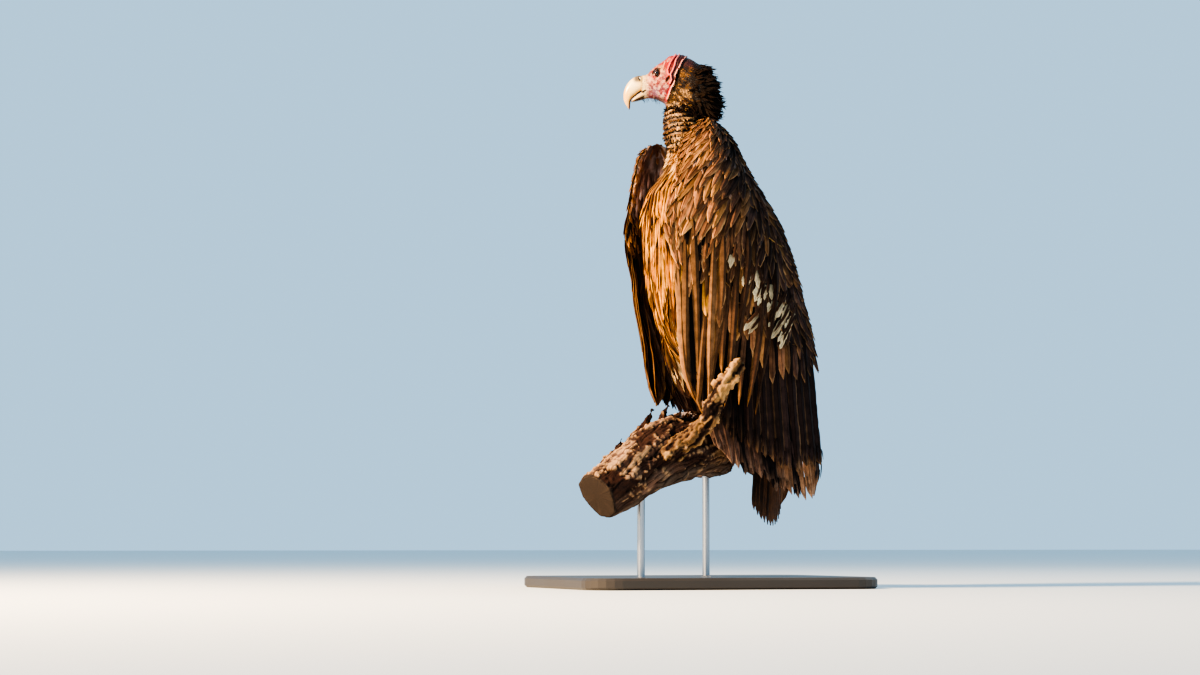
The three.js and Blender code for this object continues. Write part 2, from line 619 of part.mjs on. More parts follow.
const limb = SPLINTERS.reduce((wood, splinter) => wood.add(splinterSolid(splinter)), limbSolid());
const trunkRoom = trunkSolid(GAP);
const feet = [];
for (const [side, word] of [[LEFT, "left"], [RIGHT, "right"]]) {
  const shank = shankSolid(side);
  const thigh = largest(without(thighSolid(side), trunkRoom, shankSolid(side, GAP), ...wingPlates));
  add(`thigh_${word}`, thigh, DOWN);
  const paths = TOES[side].map((toe) => toePath(side, toe));
  const claws = paths.map((path) => clawGeometry(path));
  const clawRoom = paths.map((path) => solidOf(clawGeometry(path, GAP)));
  const foot = paths.map((path) => toeSolid(path)).reduce((a, b) => a.add(b)).add(
    solidOf(tube([ankle(side).add(vec(0, 0, 6)), ankle(side).add(vec(-6, 0, -9))], [12.5, 13.5], 9)));
  add(`foot_${word}`, largest(without(foot, ...clawRoom)), LEG);
  const footRoom = paths.map((path) => toeSolid(path, GAP)).reduce((a, b) => a.add(b)).add(
    solidOf(tube([ankle(side).add(vec(0, 0, 6.4)), ankle(side).add(vec(-6, 0, -9.4))], [12.9, 13.9], 9)));
  add(`shank_${word}`, largest(without(shank, footRoom)), LEG);
  claws.forEach((claw, i) => add(`claw_${word}_${i + 1}`, claw, CLAW));
  feet.push(footRoom, ...clawRoom);
}
const limbCut = largest(without(limb, ...feet));
add("perch", limbCut, WOOD);
add("perch_snag", largest(without(snagSolid(), limb, ...wingPlates, ...feet)), WOOD);
ROD_PLACES.forEach((place, i) => add(`stand_rod_${i + 1}`, rodSolid(place, limb), STEEL));
add("stand_base", baseGeometry(), STAND, whole);

export default whole;
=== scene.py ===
"""Finished look of a life-size perched lappet-faced vulture model on its dead limb and display stand."""
import math
from functools import partial

import bmesh
import bpy
import numpy as np
from bpy.props import FloatProperty, FloatVectorProperty, PointerProperty
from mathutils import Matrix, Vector
from mathutils.bvhtree import BVHTree


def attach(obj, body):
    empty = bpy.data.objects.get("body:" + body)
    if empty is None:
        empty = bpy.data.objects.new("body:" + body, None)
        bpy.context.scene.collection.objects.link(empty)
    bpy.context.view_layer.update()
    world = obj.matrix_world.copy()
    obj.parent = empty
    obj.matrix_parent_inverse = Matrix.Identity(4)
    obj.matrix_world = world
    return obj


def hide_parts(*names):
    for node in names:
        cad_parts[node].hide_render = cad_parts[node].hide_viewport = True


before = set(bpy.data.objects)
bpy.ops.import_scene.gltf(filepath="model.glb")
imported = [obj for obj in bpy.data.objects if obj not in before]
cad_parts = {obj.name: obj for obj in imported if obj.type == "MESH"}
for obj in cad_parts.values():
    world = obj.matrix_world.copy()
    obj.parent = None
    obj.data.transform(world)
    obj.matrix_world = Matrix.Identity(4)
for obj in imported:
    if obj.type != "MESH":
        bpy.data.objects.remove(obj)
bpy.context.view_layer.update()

bl_info = {
    "name": "Perched Vulture",
    "version": (1, 0, 0),
    "blender": (4, 5, 0),
    "location": "View3D > Sidebar > Vulture",
    "description": "Builds the finished look of a perched lappet-faced vulture on a display stand",
    "category": "Object",
}

# ---------------------------------------------------------------- sizes, in millimetres
# In the bird's own frame it faces -X and its left side is -Y. It stands off the base's centre by SHIFT.
SHIFT = np.array([45.0, -45.0, 0.0])
MM = 0.001
LEFT, RIGHT = -1, 1
SIDES = ((LEFT, "left"), (RIGHT, "right"))
UP = np.array([0, 0, 1.0])
LEG_TOP = 505
NECK_FOOT, NECK_TOP, NECK_X = 896, 1006, -90

HEAD_CENTRE = np.array([-100.0, 0.0, 1064.0])
HEAD_TURN = math.radians(19)
FORWARD = np.array([-math.cos(HEAD_TURN), math.sin(HEAD_TURN), 0.0])
SIDEWAYS = np.array([math.sin(HEAD_TURN), math.cos(HEAD_TURN), 0.0])
EYE = {"forward": 48.0, "up": 12.0, "out": 15.6, "radius": 9.0}


def linear(code):
    """sRGB hex to linear red, green and blue."""
    parts = np.array([int(code[i:i + 2], 16) for i in (1, 3, 5)]) / 255
    return tuple(float(v) for v in np.where(parts <= 0.04045, parts / 12.92,
                                            ((parts + 0.055) / 1.055) ** 2.4))


def tone(colour):
    """The linear colour of a hex code. Colours that are linear already pass through."""
    return np.array(linear(colour)) if isinstance(colour, str) else colour


def curve(*pairs):
    """A smooth curve through (at, value) pairs, for arrays."""
    x, y = np.array(sorted(pairs), float).T
    last = len(x) - 1
    low, high = np.maximum(np.arange(last + 1) - 1, 0), np.minimum(np.arange(last + 1) + 1, last)
    slope = (y[high] - y[low]) / (x[high] - x[low])

    def at(v):
        v = np.clip(v, x[0], x[-1])
        k = np.clip(np.searchsorted(x, v, "right") - 1, 0, last - 1)
        span = x[k + 1] - x[k]
        t = (v - x[k]) / span
        return ((2 * t ** 3 - 3 * t ** 2 + 1) * y[k] + (t ** 3 - 2 * t ** 2 + t) * span * slope[k]
                + (3 * t ** 2 - 2 * t ** 3) * y[k + 1] + (t ** 3 - t ** 2) * span * slope[k + 1])
    return at


def mix(a, b, t):
    """From a, where t is 0, to b, where it is 1."""
    return a + (b - a) * t


def layered(base, *coats):
    """Colours with tones laid over them in turn. Each coat is a tone and its amount at each point, 0 to 1."""
    colour = tone(base)
    for over, amount in coats:
        colour = mix(colour, tone(over), np.asarray(amount)[:, None])
    return colour


def step(low, high, v):
    """A smooth step from 0 at low to 1 at high, which may be the smaller of the two."""
    t = np.clip((v - low) / (high - low), 0, 1)
    return t * t * (3 - 2 * t)


def unit(v):
    """Directions of unit length."""
    return v / np.maximum(np.linalg.norm(v, axis=-1, keepdims=True), 1e-9)


def noise(points, size, seed=0):
    """Smooth noise from -1 to 1 with cells of that size in millimetres."""
    grid = np.asarray(points, float) / size + 731.3 + 13.7 * seed
    cell = np.floor(grid).astype(np.int64)
    f = grid - cell
    f = f * f * (3 - 2 * f)
    total = np.zeros(grid.shape[:-1])
    for corner in range(8):
        d = np.array([corner & 1, corner >> 1 & 1, corner >> 2 & 1])
        c = cell + d
        h = (c[..., 0] * 73856093) ^ (c[..., 1] * 19349663) ^ (c[..., 2] * 83492791) ^ (seed * 40503 + 9)
        h = (h ^ (h >> 13)) * 1274126177 & 0xFFFFFFFF
        value = ((h ^ (h >> 15)) & 0xFFFF) / 32767.5 - 1
        total += value * np.prod(np.where(d == 1, f, 1 - f), axis=-1)
    return total


# Wing outlines in side view, and how far the wing stands out from the bird's mid plane.
wing_front = curve((170, 160), (178, 112), (203, 45), (231, -17), (264, -48), (340, -90), (392, -122),
                   (440, -136), (520, -142), (600, -154), (655, -158), (690, -166), (750, -175),
                   (800, -168), (850, -157), (886, -146), (915, -134), (938, -119), (955, -104), (970, -84),
                   (978, -66))
wing_rear = curve((170, 168), (235, 194), (300, 203), (386, 206), (432, 205), (512, 193), (569, 178),
                  (625, 163), (690, 142), (728, 127), (760, 110), (789, 89), (812, 71), (838, 49),
                  (861, 31), (886, 14), (915, -1), (935, -14), (955, -31), (970, -47), (978, -58))
wing_rear_y = curve((170, 84), (260, 62), (340, 34), (450, 10), (690, 7), (728, 12), (760, 20), (789, 30),
                    (812, 40), (838, 49), (861, 57), (886, 64), (922, 69), (950, 66), (978, 62))
wing_out_y = curve((170, 98), (250, 114), (330, 126), (400, 136), (460, 142), (540, 152), (620, 160),
                   (700, 164), (780, 163), (850, 157), (900, 146), (930, 133), (955, 114), (970, 98),
                   (978, 82))
leading_tuck = curve((760, 18), (820, 26), (870, 44), (910, 54), (940, 46), (978, 22))
left_forward = curve((370, 0), (440, -8), (520, -14), (600, -17), (780, -11), (838, 1), (867, 0), (940, -1),
                     (978, -4))
right_forward = curve((790, 0), (837, -9), (887, -22), (926, -33), (948, -33), (968, -18))
covert_end = curve((0, 716), (0.13, 700), (0.25, 660), (0.35, 606), (0.52, 545), (0.7, 512), (1, 478))
# Where across the wing it stands out most, as a share; its top; and how deep its outer side reaches inwards.
WING_BULGE = 0.36
WING_TOP = {LEFT: 977, RIGHT: 943}
WING_THICK = 6.5


def front_of(z, side):
    """The wing's front edge at a height."""
    return wing_front(z) + np.where(np.asarray(side) == LEFT, left_forward(z), right_forward(z))


def share_of(x, z, side):
    """Share of the way from the wing's front edge to its rear edge."""
    front = front_of(z, side)
    return (x - front) / np.maximum(wing_rear(z) - front, 1)


def wing_out(x, z, side):
    """How far the wing's outer face stands out from the mid plane."""
    s = np.clip(share_of(x, z, side), -0.1, 1)
    out = wing_out_y(z)
    ahead = out - leading_tuck(z) * (1 - s / WING_BULGE) ** 2
    k = np.clip((s - WING_BULGE) / (1 - WING_BULGE), 0, 1)
    behind = mix(wing_rear_y(z), out, np.sqrt(np.maximum(0, 1 - k * k)))
    return np.where(s < WING_BULGE, ahead, behind)


def wing_slope(x, z, side):
    """How steeply the wing's outer face leaves the mid plane towards the rear."""
    return np.clip((wing_out(x + 4, z, side) - wing_out(x - 4, z, side)) / 8, -2.5, 2.5)


def wing_place(x, z, depth, side):
    """Points at a depth under the wing's outer face, and the face's normals."""
    slope_x = wing_slope(x, z, side)
    slope_z = np.clip((wing_out(x, z + 4, side) - wing_out(x, z - 4, side)) / 8, -1, 1)
    normal = unit(np.stack([-slope_x, np.ones_like(slope_x), -slope_z], -1))
    point = np.stack([x, wing_out(x, z, side), z], -1) - normal * np.asarray(depth)[..., None]
    flip = np.array([1, side, 1])
    return point * flip, normal * flip


def head_space(points):
    """Forward, up and right of the skull's centre."""
    d = points - HEAD_CENTRE
    return d @ FORWARD, d[:, 2], d @ SIDEWAYS


def from_head(forward, up, right):
    """Points at those distances forward, up and right of the skull's centre."""
    return (HEAD_CENTRE + np.multiply.outer(forward, FORWARD) + np.multiply.outer(right, SIDEWAYS)
            + np.multiply.outer(up, UP))


# Skull sections: forward against top, bottom and half width.
HEAD_SECTIONS = [(-86, -44, -62, 12), (-81, -20, -76, 28), (-70, 4, -82, 40), (-56, 26, -84, 46),
                 (-40, 36, -82, 46), (-25, 46, -76, 43), (-10, 52.5, -70, 40), (6, 54.5, -64, 37.5),
                 (22, 50, -57, 35), (35, 40.5, -48, 31), (48, 32, -41, 26.5), (59, 23, -39, 22),
                 (68, 13.5, -38.5, 18), (75, 11, -40, 16), (81.5, 10, -42, 14.5)]
head_top, head_bottom, head_half = (curve(*[(s[0], s[i]) for s in HEAD_SECTIONS]) for i in (1, 2, 3))

# Skin folds over the side of the head, from the crown down and forward: (forward, up) lines, front to rear.
FOLDS = [
    [(6, 58), (11.5, 47.3), (19.1, 35.4), (24.2, 23.4), (26.4, 14.9), (24.2, 5.6)],
    [(-1, 58), (3.8, 47.3), (8.9, 38.8), (11.5, 26.9), (16.2, 14.9), (20.8, 6.4), (18.3, -4.6),
     (21.7, -12.3)],
    [(-16, 52), (-9.8, 42.2), (-3.9, 35.4), (1.2, 23.4), (6.4, 14.9), (11, 3.9), (8.9, -0.4), (13.2, -12.3),
     (18.3, -20.8), (23.4, -34.4), (27.1, -43.8)],
]
FAINT_FOLD = [(22, 50), (30, 36), (35.3, 16.6)]
EAR = (25.9, -2.9)
GAPE = [(84, -26.5), (79, -27), (75, -25.2), (72, -24)]
BROW = [(42, 20.5), (48.5, 22.5), (53.5, 18.5), (57, 10.5)]
CERE_RIDGE = [(88, 12), (80, 10), (74, 11)]
POUCH = [(66, -20), (56, -26), (44, -33), (34, -38)]


def ear_ring(forward, up):
    """Place in the ear's slanting slit: 0 in its middle and 1 at its rim."""
    return np.hypot((forward - EAR[0] + 0.5 * (up - EAR[1])) / 3.6, (up - EAR[1]) / 7.5)


def eye_ring(points):
    """Place in the eye's opening: 0 in its middle and 1 at its rim."""
    forward, up, _ = head_space(points)
    lean = 0.2 * (up - EYE["up"])
    return np.hypot((forward - EYE["forward"] + lean) / 3.5, (up - EYE["up"] + 0.5) / 6.6)


def to_line(forward, up, line):
    """Distance to a line of (forward, up) points, positive in front of it."""
    line = np.array(line, float)
    best, side_of = np.full(len(forward), 1e9), np.zeros(len(forward))
    p = np.stack([forward, up], 1)
    for a, b in zip(line[:-1], line[1:]):
        d = b - a
        t = np.clip((p - a) @ d / (d @ d), 0, 1)
        off = p - a - t[:, None] * d
        far = np.linalg.norm(off, axis=1)
        near = far < best
        best[near] = far[near]
        side_of[near] = np.sign(off[near, 0] * -d[1] + off[near, 1] * d[0])
    return best * side_of


# The rear edge of the bare face: how far forward it lies at each height.
bare_edge = curve((-60, 30), (-43.8, 27.1), (-34.4, 23.4), (-20.8, 18.3), (-12.3, 13.2), (3.9, 10),
                  (14.9, 6.4), (23.4, 1.2), (35.4, -3.9), (42.2, -9.8), (56, -18))


# ---------------------------------------------------------------- markings, shared by the skin and the coat
def face_tone(forward, up, points):
    """The bare skin of the face: blotched reds, folds with painted highlights along their crests and painted
    shade in the creases between them, painted shade under the jaw, ear, lids, brow and gape.
    """
    def near(line, wide, sharp):
        return step(wide, sharp, np.abs(to_line(forward, up, line)))

    blotch, fine, mark = noise(points, 8, 3), noise(points, 3.0, 4), noise(points, 5.5, 5)
    spots = [("#c9332e", step(1.2, 0.4, np.hypot(forward - f, up - u) / wide + 0.25 * fine) * 0.85)
             for f, u, wide in ((63, -1, 7), (44, -1, 6), (31, 1, 7), (27, -38, 8), (57, 3, 4))]
    colour = layered("#b8624f", ("#b8342e", step(2, 26, up) * step(60, 40, forward) * 0.92),
                     ("#99708a", step(-10, -24, up) * 0.85), ("#a02c28", step(0.0, 0.35, blotch) * 0.8),
                     ("#dba284", step(0.05, 0.5, -blotch) * 0.5), *spots,
                     ("#7a2630", step(0.05, 0.3, mark) * 0.8 * step(20, 0, up)),
                     ("#ecbca4", step(0.1, 0.35, -mark) * 0.6), ("#ecc4ac", step(0.25, 0.6, fine) * 0.4),
                     ("#7c262a", step(0.1, 0.5, -fine) * 0.55),
                     ("#dca87c", step(12, 5, np.hypot(forward - 40, up - 20)) * 0.7),
                     ("#dcc290", step(62, 77, forward) * 0.9),
                     # Painted shade: the band under the jaw, towards the front, is darkened as the head's
                     # underside.
                     ("#5c332c", step(-35, -42, up) * step(20, 40, forward) * 0.85))
    colour = colour * mix(0.66, 0.9, step(60, 80, forward))[:, None]
    # Each fold is red at its foot and has a painted highlight along its crest, and the skin between two folds
    # is painted dark, as the shade that lies there.
    folds = [to_line(forward, up, fold) for fold in FOLDS]
    feet = [("#b0201f", step(6.5, 2.0, np.abs(off)) * 0.95) for off in folds]
    crease_shade = [(code, (a < 0) * (b > 0) * step(1.0, 2.4, np.minimum(-a, b)) * step(-22, -14, up) * 0.97)
               for code, a, b in zip(("#5a1010", "#2c0808"), folds, folds[1:])]
    crest_highlights = [(code, step(1.9, 0.7, np.abs(off)))
              for code, off in zip(("#f0766c", "#f48a7e", "#ffc0b2"), folds)]
    ear, eye = ear_ring(forward, up), eye_ring(points)
    corner = np.hypot((forward - EYE["forward"] + 0.5) / 2.6, (up - EYE["up"] - 1.5) / 11.5)
    return layered(colour, *feet, *crease_shade, *crest_highlights, ("#8e1f1f", near(FAINT_FOLD, 2.2, 0.8) * 0.8),
                   ("#5a3722", step(1.25, 0.6, ear) * 0.92), ("#2a150d", step(0.8, 0.3, ear)),
                   ("#5a1c18", step(1.6, 1.25, eye) * 0.9), ("#1c0d0a", step(1.25, 1.05, eye)),
                   ("#140807", step(1.15, 0.85, corner)), ("#2a0f0b", near(BROW, 2.3, 1.2) * 0.95),
                   ("#2c1512", near(GAPE, 2.3, 1.0)), ("#7c6348", near(CERE_RIDGE, 3.4, 1.5) * 0.7))


def down_tone(forward, up, points):
    """Buff and brown mottled down on the side of the head, almost black on the nape."""
    patch, speck = noise(points, 9, 7), noise(points, 5.5, 8)
    back = step(-14, -27, forward + 0.1 * up + 6 * noise(points, 12, 9))
    low = step(-10, -34, up)
    crown = step(16, 30, up) * step(-44, -20, forward)
    return layered("#553a20", ("#94683a", step(0.12, 0.4, patch) * 0.85),
                   ("#20120b", step(0.02, 0.35, -patch) * 0.9),
                   ("#cf9f66", step(0.15, 0.42, speck) * low * 0.85),
                   ("#3a200f", step(0.1, 0.4, -speck) * low * 0.8),
                   ("#5c3338", crown * 0.85), ("#21140d", back * (1 - 0.6 * crown) * 0.96))


# Height of one fold of the neck with its crease.
NECK_BAND = 10.5


def neck_wave(points):
    """The bands of the neck: 1 on a pale fold and -1 in the dark crease between two."""
    height = points[:, 2] - 0.12 * points[:, 0] + 3.0 * noise(points, 20, 11) + 1.2 * noise(points, 7, 12)
    return np.sin(height * 2 * math.pi / NECK_BAND)


def ruff(points):
    """1 on the pale ruff at the foot of the neck's front, and 0 away from it."""
    return step(938, 905, points[:, 2]) * step(-56, -84, points[:, 0])


def neck_tone(points):
    """Cream and dark brown folds down the front and sides of the neck, and a pale ruff at its foot."""
    front = step(-70, -100, points[:, 0])
    patch = step(-0.4, 0.3, noise(points, 13, 14))
    pale = step(0.0, 0.45, neck_wave(points)) * mix(0.3, mix(0.4, 1.0, patch), front)
    pale = pale * mix(0.35, 1.0, step(-136, -122, points[:, 0] + 8 * noise(points, 12, 24)))
    tan = layered("#94673c", ("#d0a26e", step(-0.4, 0.3, noise(points, 10, 26))))
    streaked = layered("#8f5f30", ("#eec690", step(-0.5, 0.3, noise(points * [1, 1, 0.3], 9, 15))))
    return layered("#1a0d07", (tan, pale), (streaked, ruff(points) * 0.9))


def body_tone(points):
    """Golden breast streaked with dark brown, dark brown back and shoulders, browner belly."""
    x, y, z = points.T
    middle = curve((420, 25), (600, -22), (760, -43), (860, -66), (930, -80))(z)
    back = step(-20, 45, x - middle)
    streak = noise(points * [1, 1, 0.16], 6.5, 13) + 0.5 * noise(points * [1, 1, 0.3], 14, 16)
    shoulder = step(42, 66, np.abs(y)) * step(835, 872, z)
    mottle = layered("#3a2214", ("#9c6a38", step(0.1, 0.7, noise(points, 11, 18))))
    return layered("#b06f28", ("#e8a64a", step(0.0, 0.5, streak) * 0.9),
                   ("#4a270d", step(0.05, 0.55, -streak) * 0.9),
                   ("#e6b878", step(856, 900, z) * (0.2 + 0.5 * step(0, 0.5, streak))),
                   ("#4a3020", step(600, 500, z) * 0.85), (mottle, shoulder), ("#3f2819", back))


def leg_tone(points):
    """Dark brown thighs, a little mottled."""
    return layered("#2e1c14", ("#66442e", step(0, 0.7, noise(points, 14, 17)) * 0.7))


def wing_tone(points, inner):
    """Warm brown in front, almost black to the rear and below, partly the feathers' own colour and partly
    painted shade, black-brown inside. The far wing's outer face is painted darker, as shade.
    """
    x, y, z = points.T
    near = y < 0
    s = share_of(x, z, np.where(near, LEFT, RIGHT))
    cloud = 0.09 * noise(points, 40, 19) + 0.05 * noise(points, 14, 20)
    # Painted shade, in part: the rear and the lower part are darker, partly the feathers' own colour; the far
    # wing's outer face is darkened as well, as shade.
    rear = step(0.36, 0.76, s + cloud + 0.1 * step(900, 700, z) - 0.1 * step(700, 520, z))
    outside = layered("#a86e40", ("#4e3628", rear), ("#7c5436", step(610, 430, z) * 0.6 * (1 - rear)),
                      ("#8a5c38", step(0.15, 0.7, noise(points, 22, 23)) * 0.45), ("#57331b", 0.5 * ~near))
    spot = step(0.0, 0.7, noise(points, 12, 21))
    streak = step(-0.1, 0.4, noise(points * [1, 1, 0.35], 7, 25))
    pale = layered("#b48a62", ("#f2d0a0", spot)) * mix(0.5, 1.35, streak)[:, None]
    inside = layered("#1d110b", ("#4b2d1a", 0.5 * spot), (pale, step(780, 870, z)))
    return layered(outside * [1, 1.06, 1.38], (inside * [1, 1.1, 1.8], np.asarray(inner, float)))


# ---------------------------------------------------------------- mesh helpers
def bare_mesh(name, verts, loops, starts):
    """A new mesh object from arrays, in millimetres of the bird's frame, smooth but for its sharp edges."""
    mesh = bpy.data.meshes.new(name)
    mesh.vertices.add(len(verts))
    mesh.vertices.foreach_set("co", ((verts + SHIFT) * MM).astype(np.float32).ravel())
    mesh.loops.add(len(loops))
    mesh.loops.foreach_set("vertex_index", np.asarray(loops, np.int32))
    mesh.polygons.add(len(starts))
    mesh.polygons.foreach_set("loop_start", np.asarray(starts, np.int32))
    mesh.update(calc_edges=True)
    mesh.polygons.foreach_set("use_smooth", np.ones(len(starts), bool))
    mesh.set_sharp_from_angle(angle=math.radians(50))
    thing = bpy.data.objects.new(name, mesh)
    bpy.context.scene.collection.objects.link(thing)
    return thing


def paint(thing, name, colours, alpha=1.0):
    """Writes a colour for each vertex."""
    layer = thing.data.color_attributes.new(name, "FLOAT_COLOR", "POINT")
    rgba = np.ones((len(colours), 4), np.float32)
    rgba[:, :3] = np.clip(colours, 0, 1)
    rgba[:, 3] = alpha
    layer.data.foreach_set("color", rgba.ravel())


def places(thing):
    """A mesh's vertices in the bird's millimetres."""
    found = np.empty(len(thing.data.vertices) * 3, np.float32)
    thing.data.vertices.foreach_get("co", found)
    return found.reshape(-1, 3).astype(float) / MM - SHIFT


def move_to(thing, points):
    """Moves a mesh's vertices to places in the bird's millimetres."""
    thing.data.vertices.foreach_set("co", ((points + SHIFT) * MM).astype(np.float32).ravel())
    thing.data.update()


def vertex_normals(thing):
    """Directions away from the surface at a mesh's vertices."""
    found = np.empty(len(thing.data.vertices) * 3, np.float32)
    thing.data.vertex_normals.foreach_get("vector", found)
    return found.reshape(-1, 3).astype(float)


def only(thing):
    """Selects one object and makes it active."""
    bpy.ops.object.select_all(action="DESELECT")
    thing.select_set(True)
    bpy.context.view_layer.objects.active = thing


def face_outwards(thing, merge=0.0):
    """Merges vertices that lie together, if a distance is given, and turns every face outwards."""
    only(thing)
    bpy.ops.object.mode_set(mode="EDIT")
    bpy.ops.mesh.select_all(action="SELECT")
    if merge:
        bpy.ops.mesh.remove_doubles(threshold=merge)
    bpy.ops.mesh.normals_make_consistent(inside=False)
    bpy.ops.object.mode_set(mode="OBJECT")


def join(name, things):
    """Joins objects into the first of them."""
    bpy.ops.object.select_all(action="DESELECT")
    for thing in things:
        thing.select_set(True)
    bpy.context.view_layer.objects.active = things[0]
    bpy.ops.object.join()
    things[0].name = things[0].data.name = name
    return things[0]


def copy_of_nodes(name, nodes):
    """One mesh of copies of CAD nodes, with their loose triangles merged."""
    copies = []
    for node in nodes:
        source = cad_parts[node]
        twin = bpy.data.objects.new(name, source.data.copy())
        twin.matrix_world = source.matrix_world
        bpy.context.scene.collection.objects.link(twin)
        copies.append(twin)
    thing = join(name, copies)
    bpy.ops.object.transform_apply(location=True, rotation=True, scale=True)
    thing.data.materials.clear()
    face_outwards(thing, merge=0.00002)
    return thing


def modify(thing, kind, **settings):
    """Adds a modifier with its settings and applies it."""
    only(thing)
    modifier = thing.modifiers.new(kind.title(), kind)
    for key, value in settings.items():
        setattr(modifier, key, value)
    bpy.ops.object.modifier_apply(modifier=modifier.name)


def largest_island(thing):
    """Keeps a mesh's largest connected island."""
    form = bmesh.new()
    form.from_mesh(thing.data)
    form.verts.ensure_lookup_table()
    island = np.full(len(form.verts), -1)
    sizes = []
    for start in form.verts:
        if island[start.index] >= 0:
            continue
        island[start.index] = len(sizes)
        todo, count = [start], 0
        while todo:
            here = todo.pop()
            count += 1
            for edge in here.link_edges:
                there = edge.other_vert(here)
                if island[there.index] < 0:
                    island[there.index] = len(sizes)
                    todo.append(there)
        sizes.append(count)
    largest = int(np.argmax(sizes))
    bmesh.ops.delete(form, geom=[v for v in form.verts if island[v.index] != largest], context="VERTS")
    form.to_mesh(thing.data)
    form.free()


def remeshed(thing, voxel, swell, whole=True):
    """Swells solids to close the cuts between them, then remeshes. The surface is left swollen."""
    modify(thing, "DISPLACE", strength=swell * MM, mid_level=0.0)
    modify(thing, "REMESH", mode="VOXEL", voxel_size=voxel * MM, use_smooth_shade=True)
    if whole:
        largest_island(thing)
    modify(thing, "SMOOTH", factor=0.5, iterations=3)


def refine(thing, chosen):
    """Splits the faces whose vertices are all chosen, once."""
    mesh = thing.data
    only(thing)
    bpy.ops.object.mode_set(mode="EDIT")
    bpy.ops.mesh.select_mode(type="FACE")
    bpy.ops.mesh.select_all(action="DESELECT")
    bpy.ops.object.mode_set(mode="OBJECT")
    starts = np.empty(len(mesh.polygons), np.int32)
    mesh.polygons.foreach_get("loop_start", starts)
    corners = np.empty(len(mesh.loops), np.int32)
    mesh.loops.foreach_get("vertex_index", corners)
    picked = np.minimum.reduceat(chosen[corners].astype(np.int8), starts) > 0
    mesh.polygons.foreach_set("select", picked)
    bpy.ops.object.mode_set(mode="EDIT")
    bpy.ops.mesh.subdivide(number_cuts=1, smoothness=0)
    bpy.ops.object.mode_set(mode="OBJECT")


def shape_tree(thing):
    """A search tree over a mesh, in the bird's millimetres."""
    mesh = thing.data
    return BVHTree.FromPolygons(places(thing).tolist(), [tuple(p.vertices) for p in mesh.polygons])


# ---------------------------------------------------------------- vanes, the pieces the coat is made of
# Half the size of a vane's own patch on the baked map.
BAKE_PATCH = 0.0015
# Cross-sections: (across, drop of the edge, depth under the vane), along the top and back underneath.
TUFT = np.array([(-1, 1, 0), (0, 0, 0), (1, 1, 0), (0, 0.1, 1)])
COVERT = np.array([(-1, 1, 0), (-0.55, 0.28, 0), (0, 0, 0), (0.55, 0.28, 0), (1, 1, 0), (0.5, 0.3, 1),
                   (-0.5, 0.3, 1)])
QUILL = np.array([(-1, 1, 0), (-0.72, 0.5, 0), (-0.38, 0.14, 0), (-0.07, 0.02, 0), (0, -0.02, -1.1),
                  (0.07, 0.02, 0), (0.38, 0.14, 0), (0.72, 0.5, 0), (1, 1, 0), (0.6, 0.36, 1),
                  (0, 0.03, 1.6), (-0.6, 0.36, 1)])


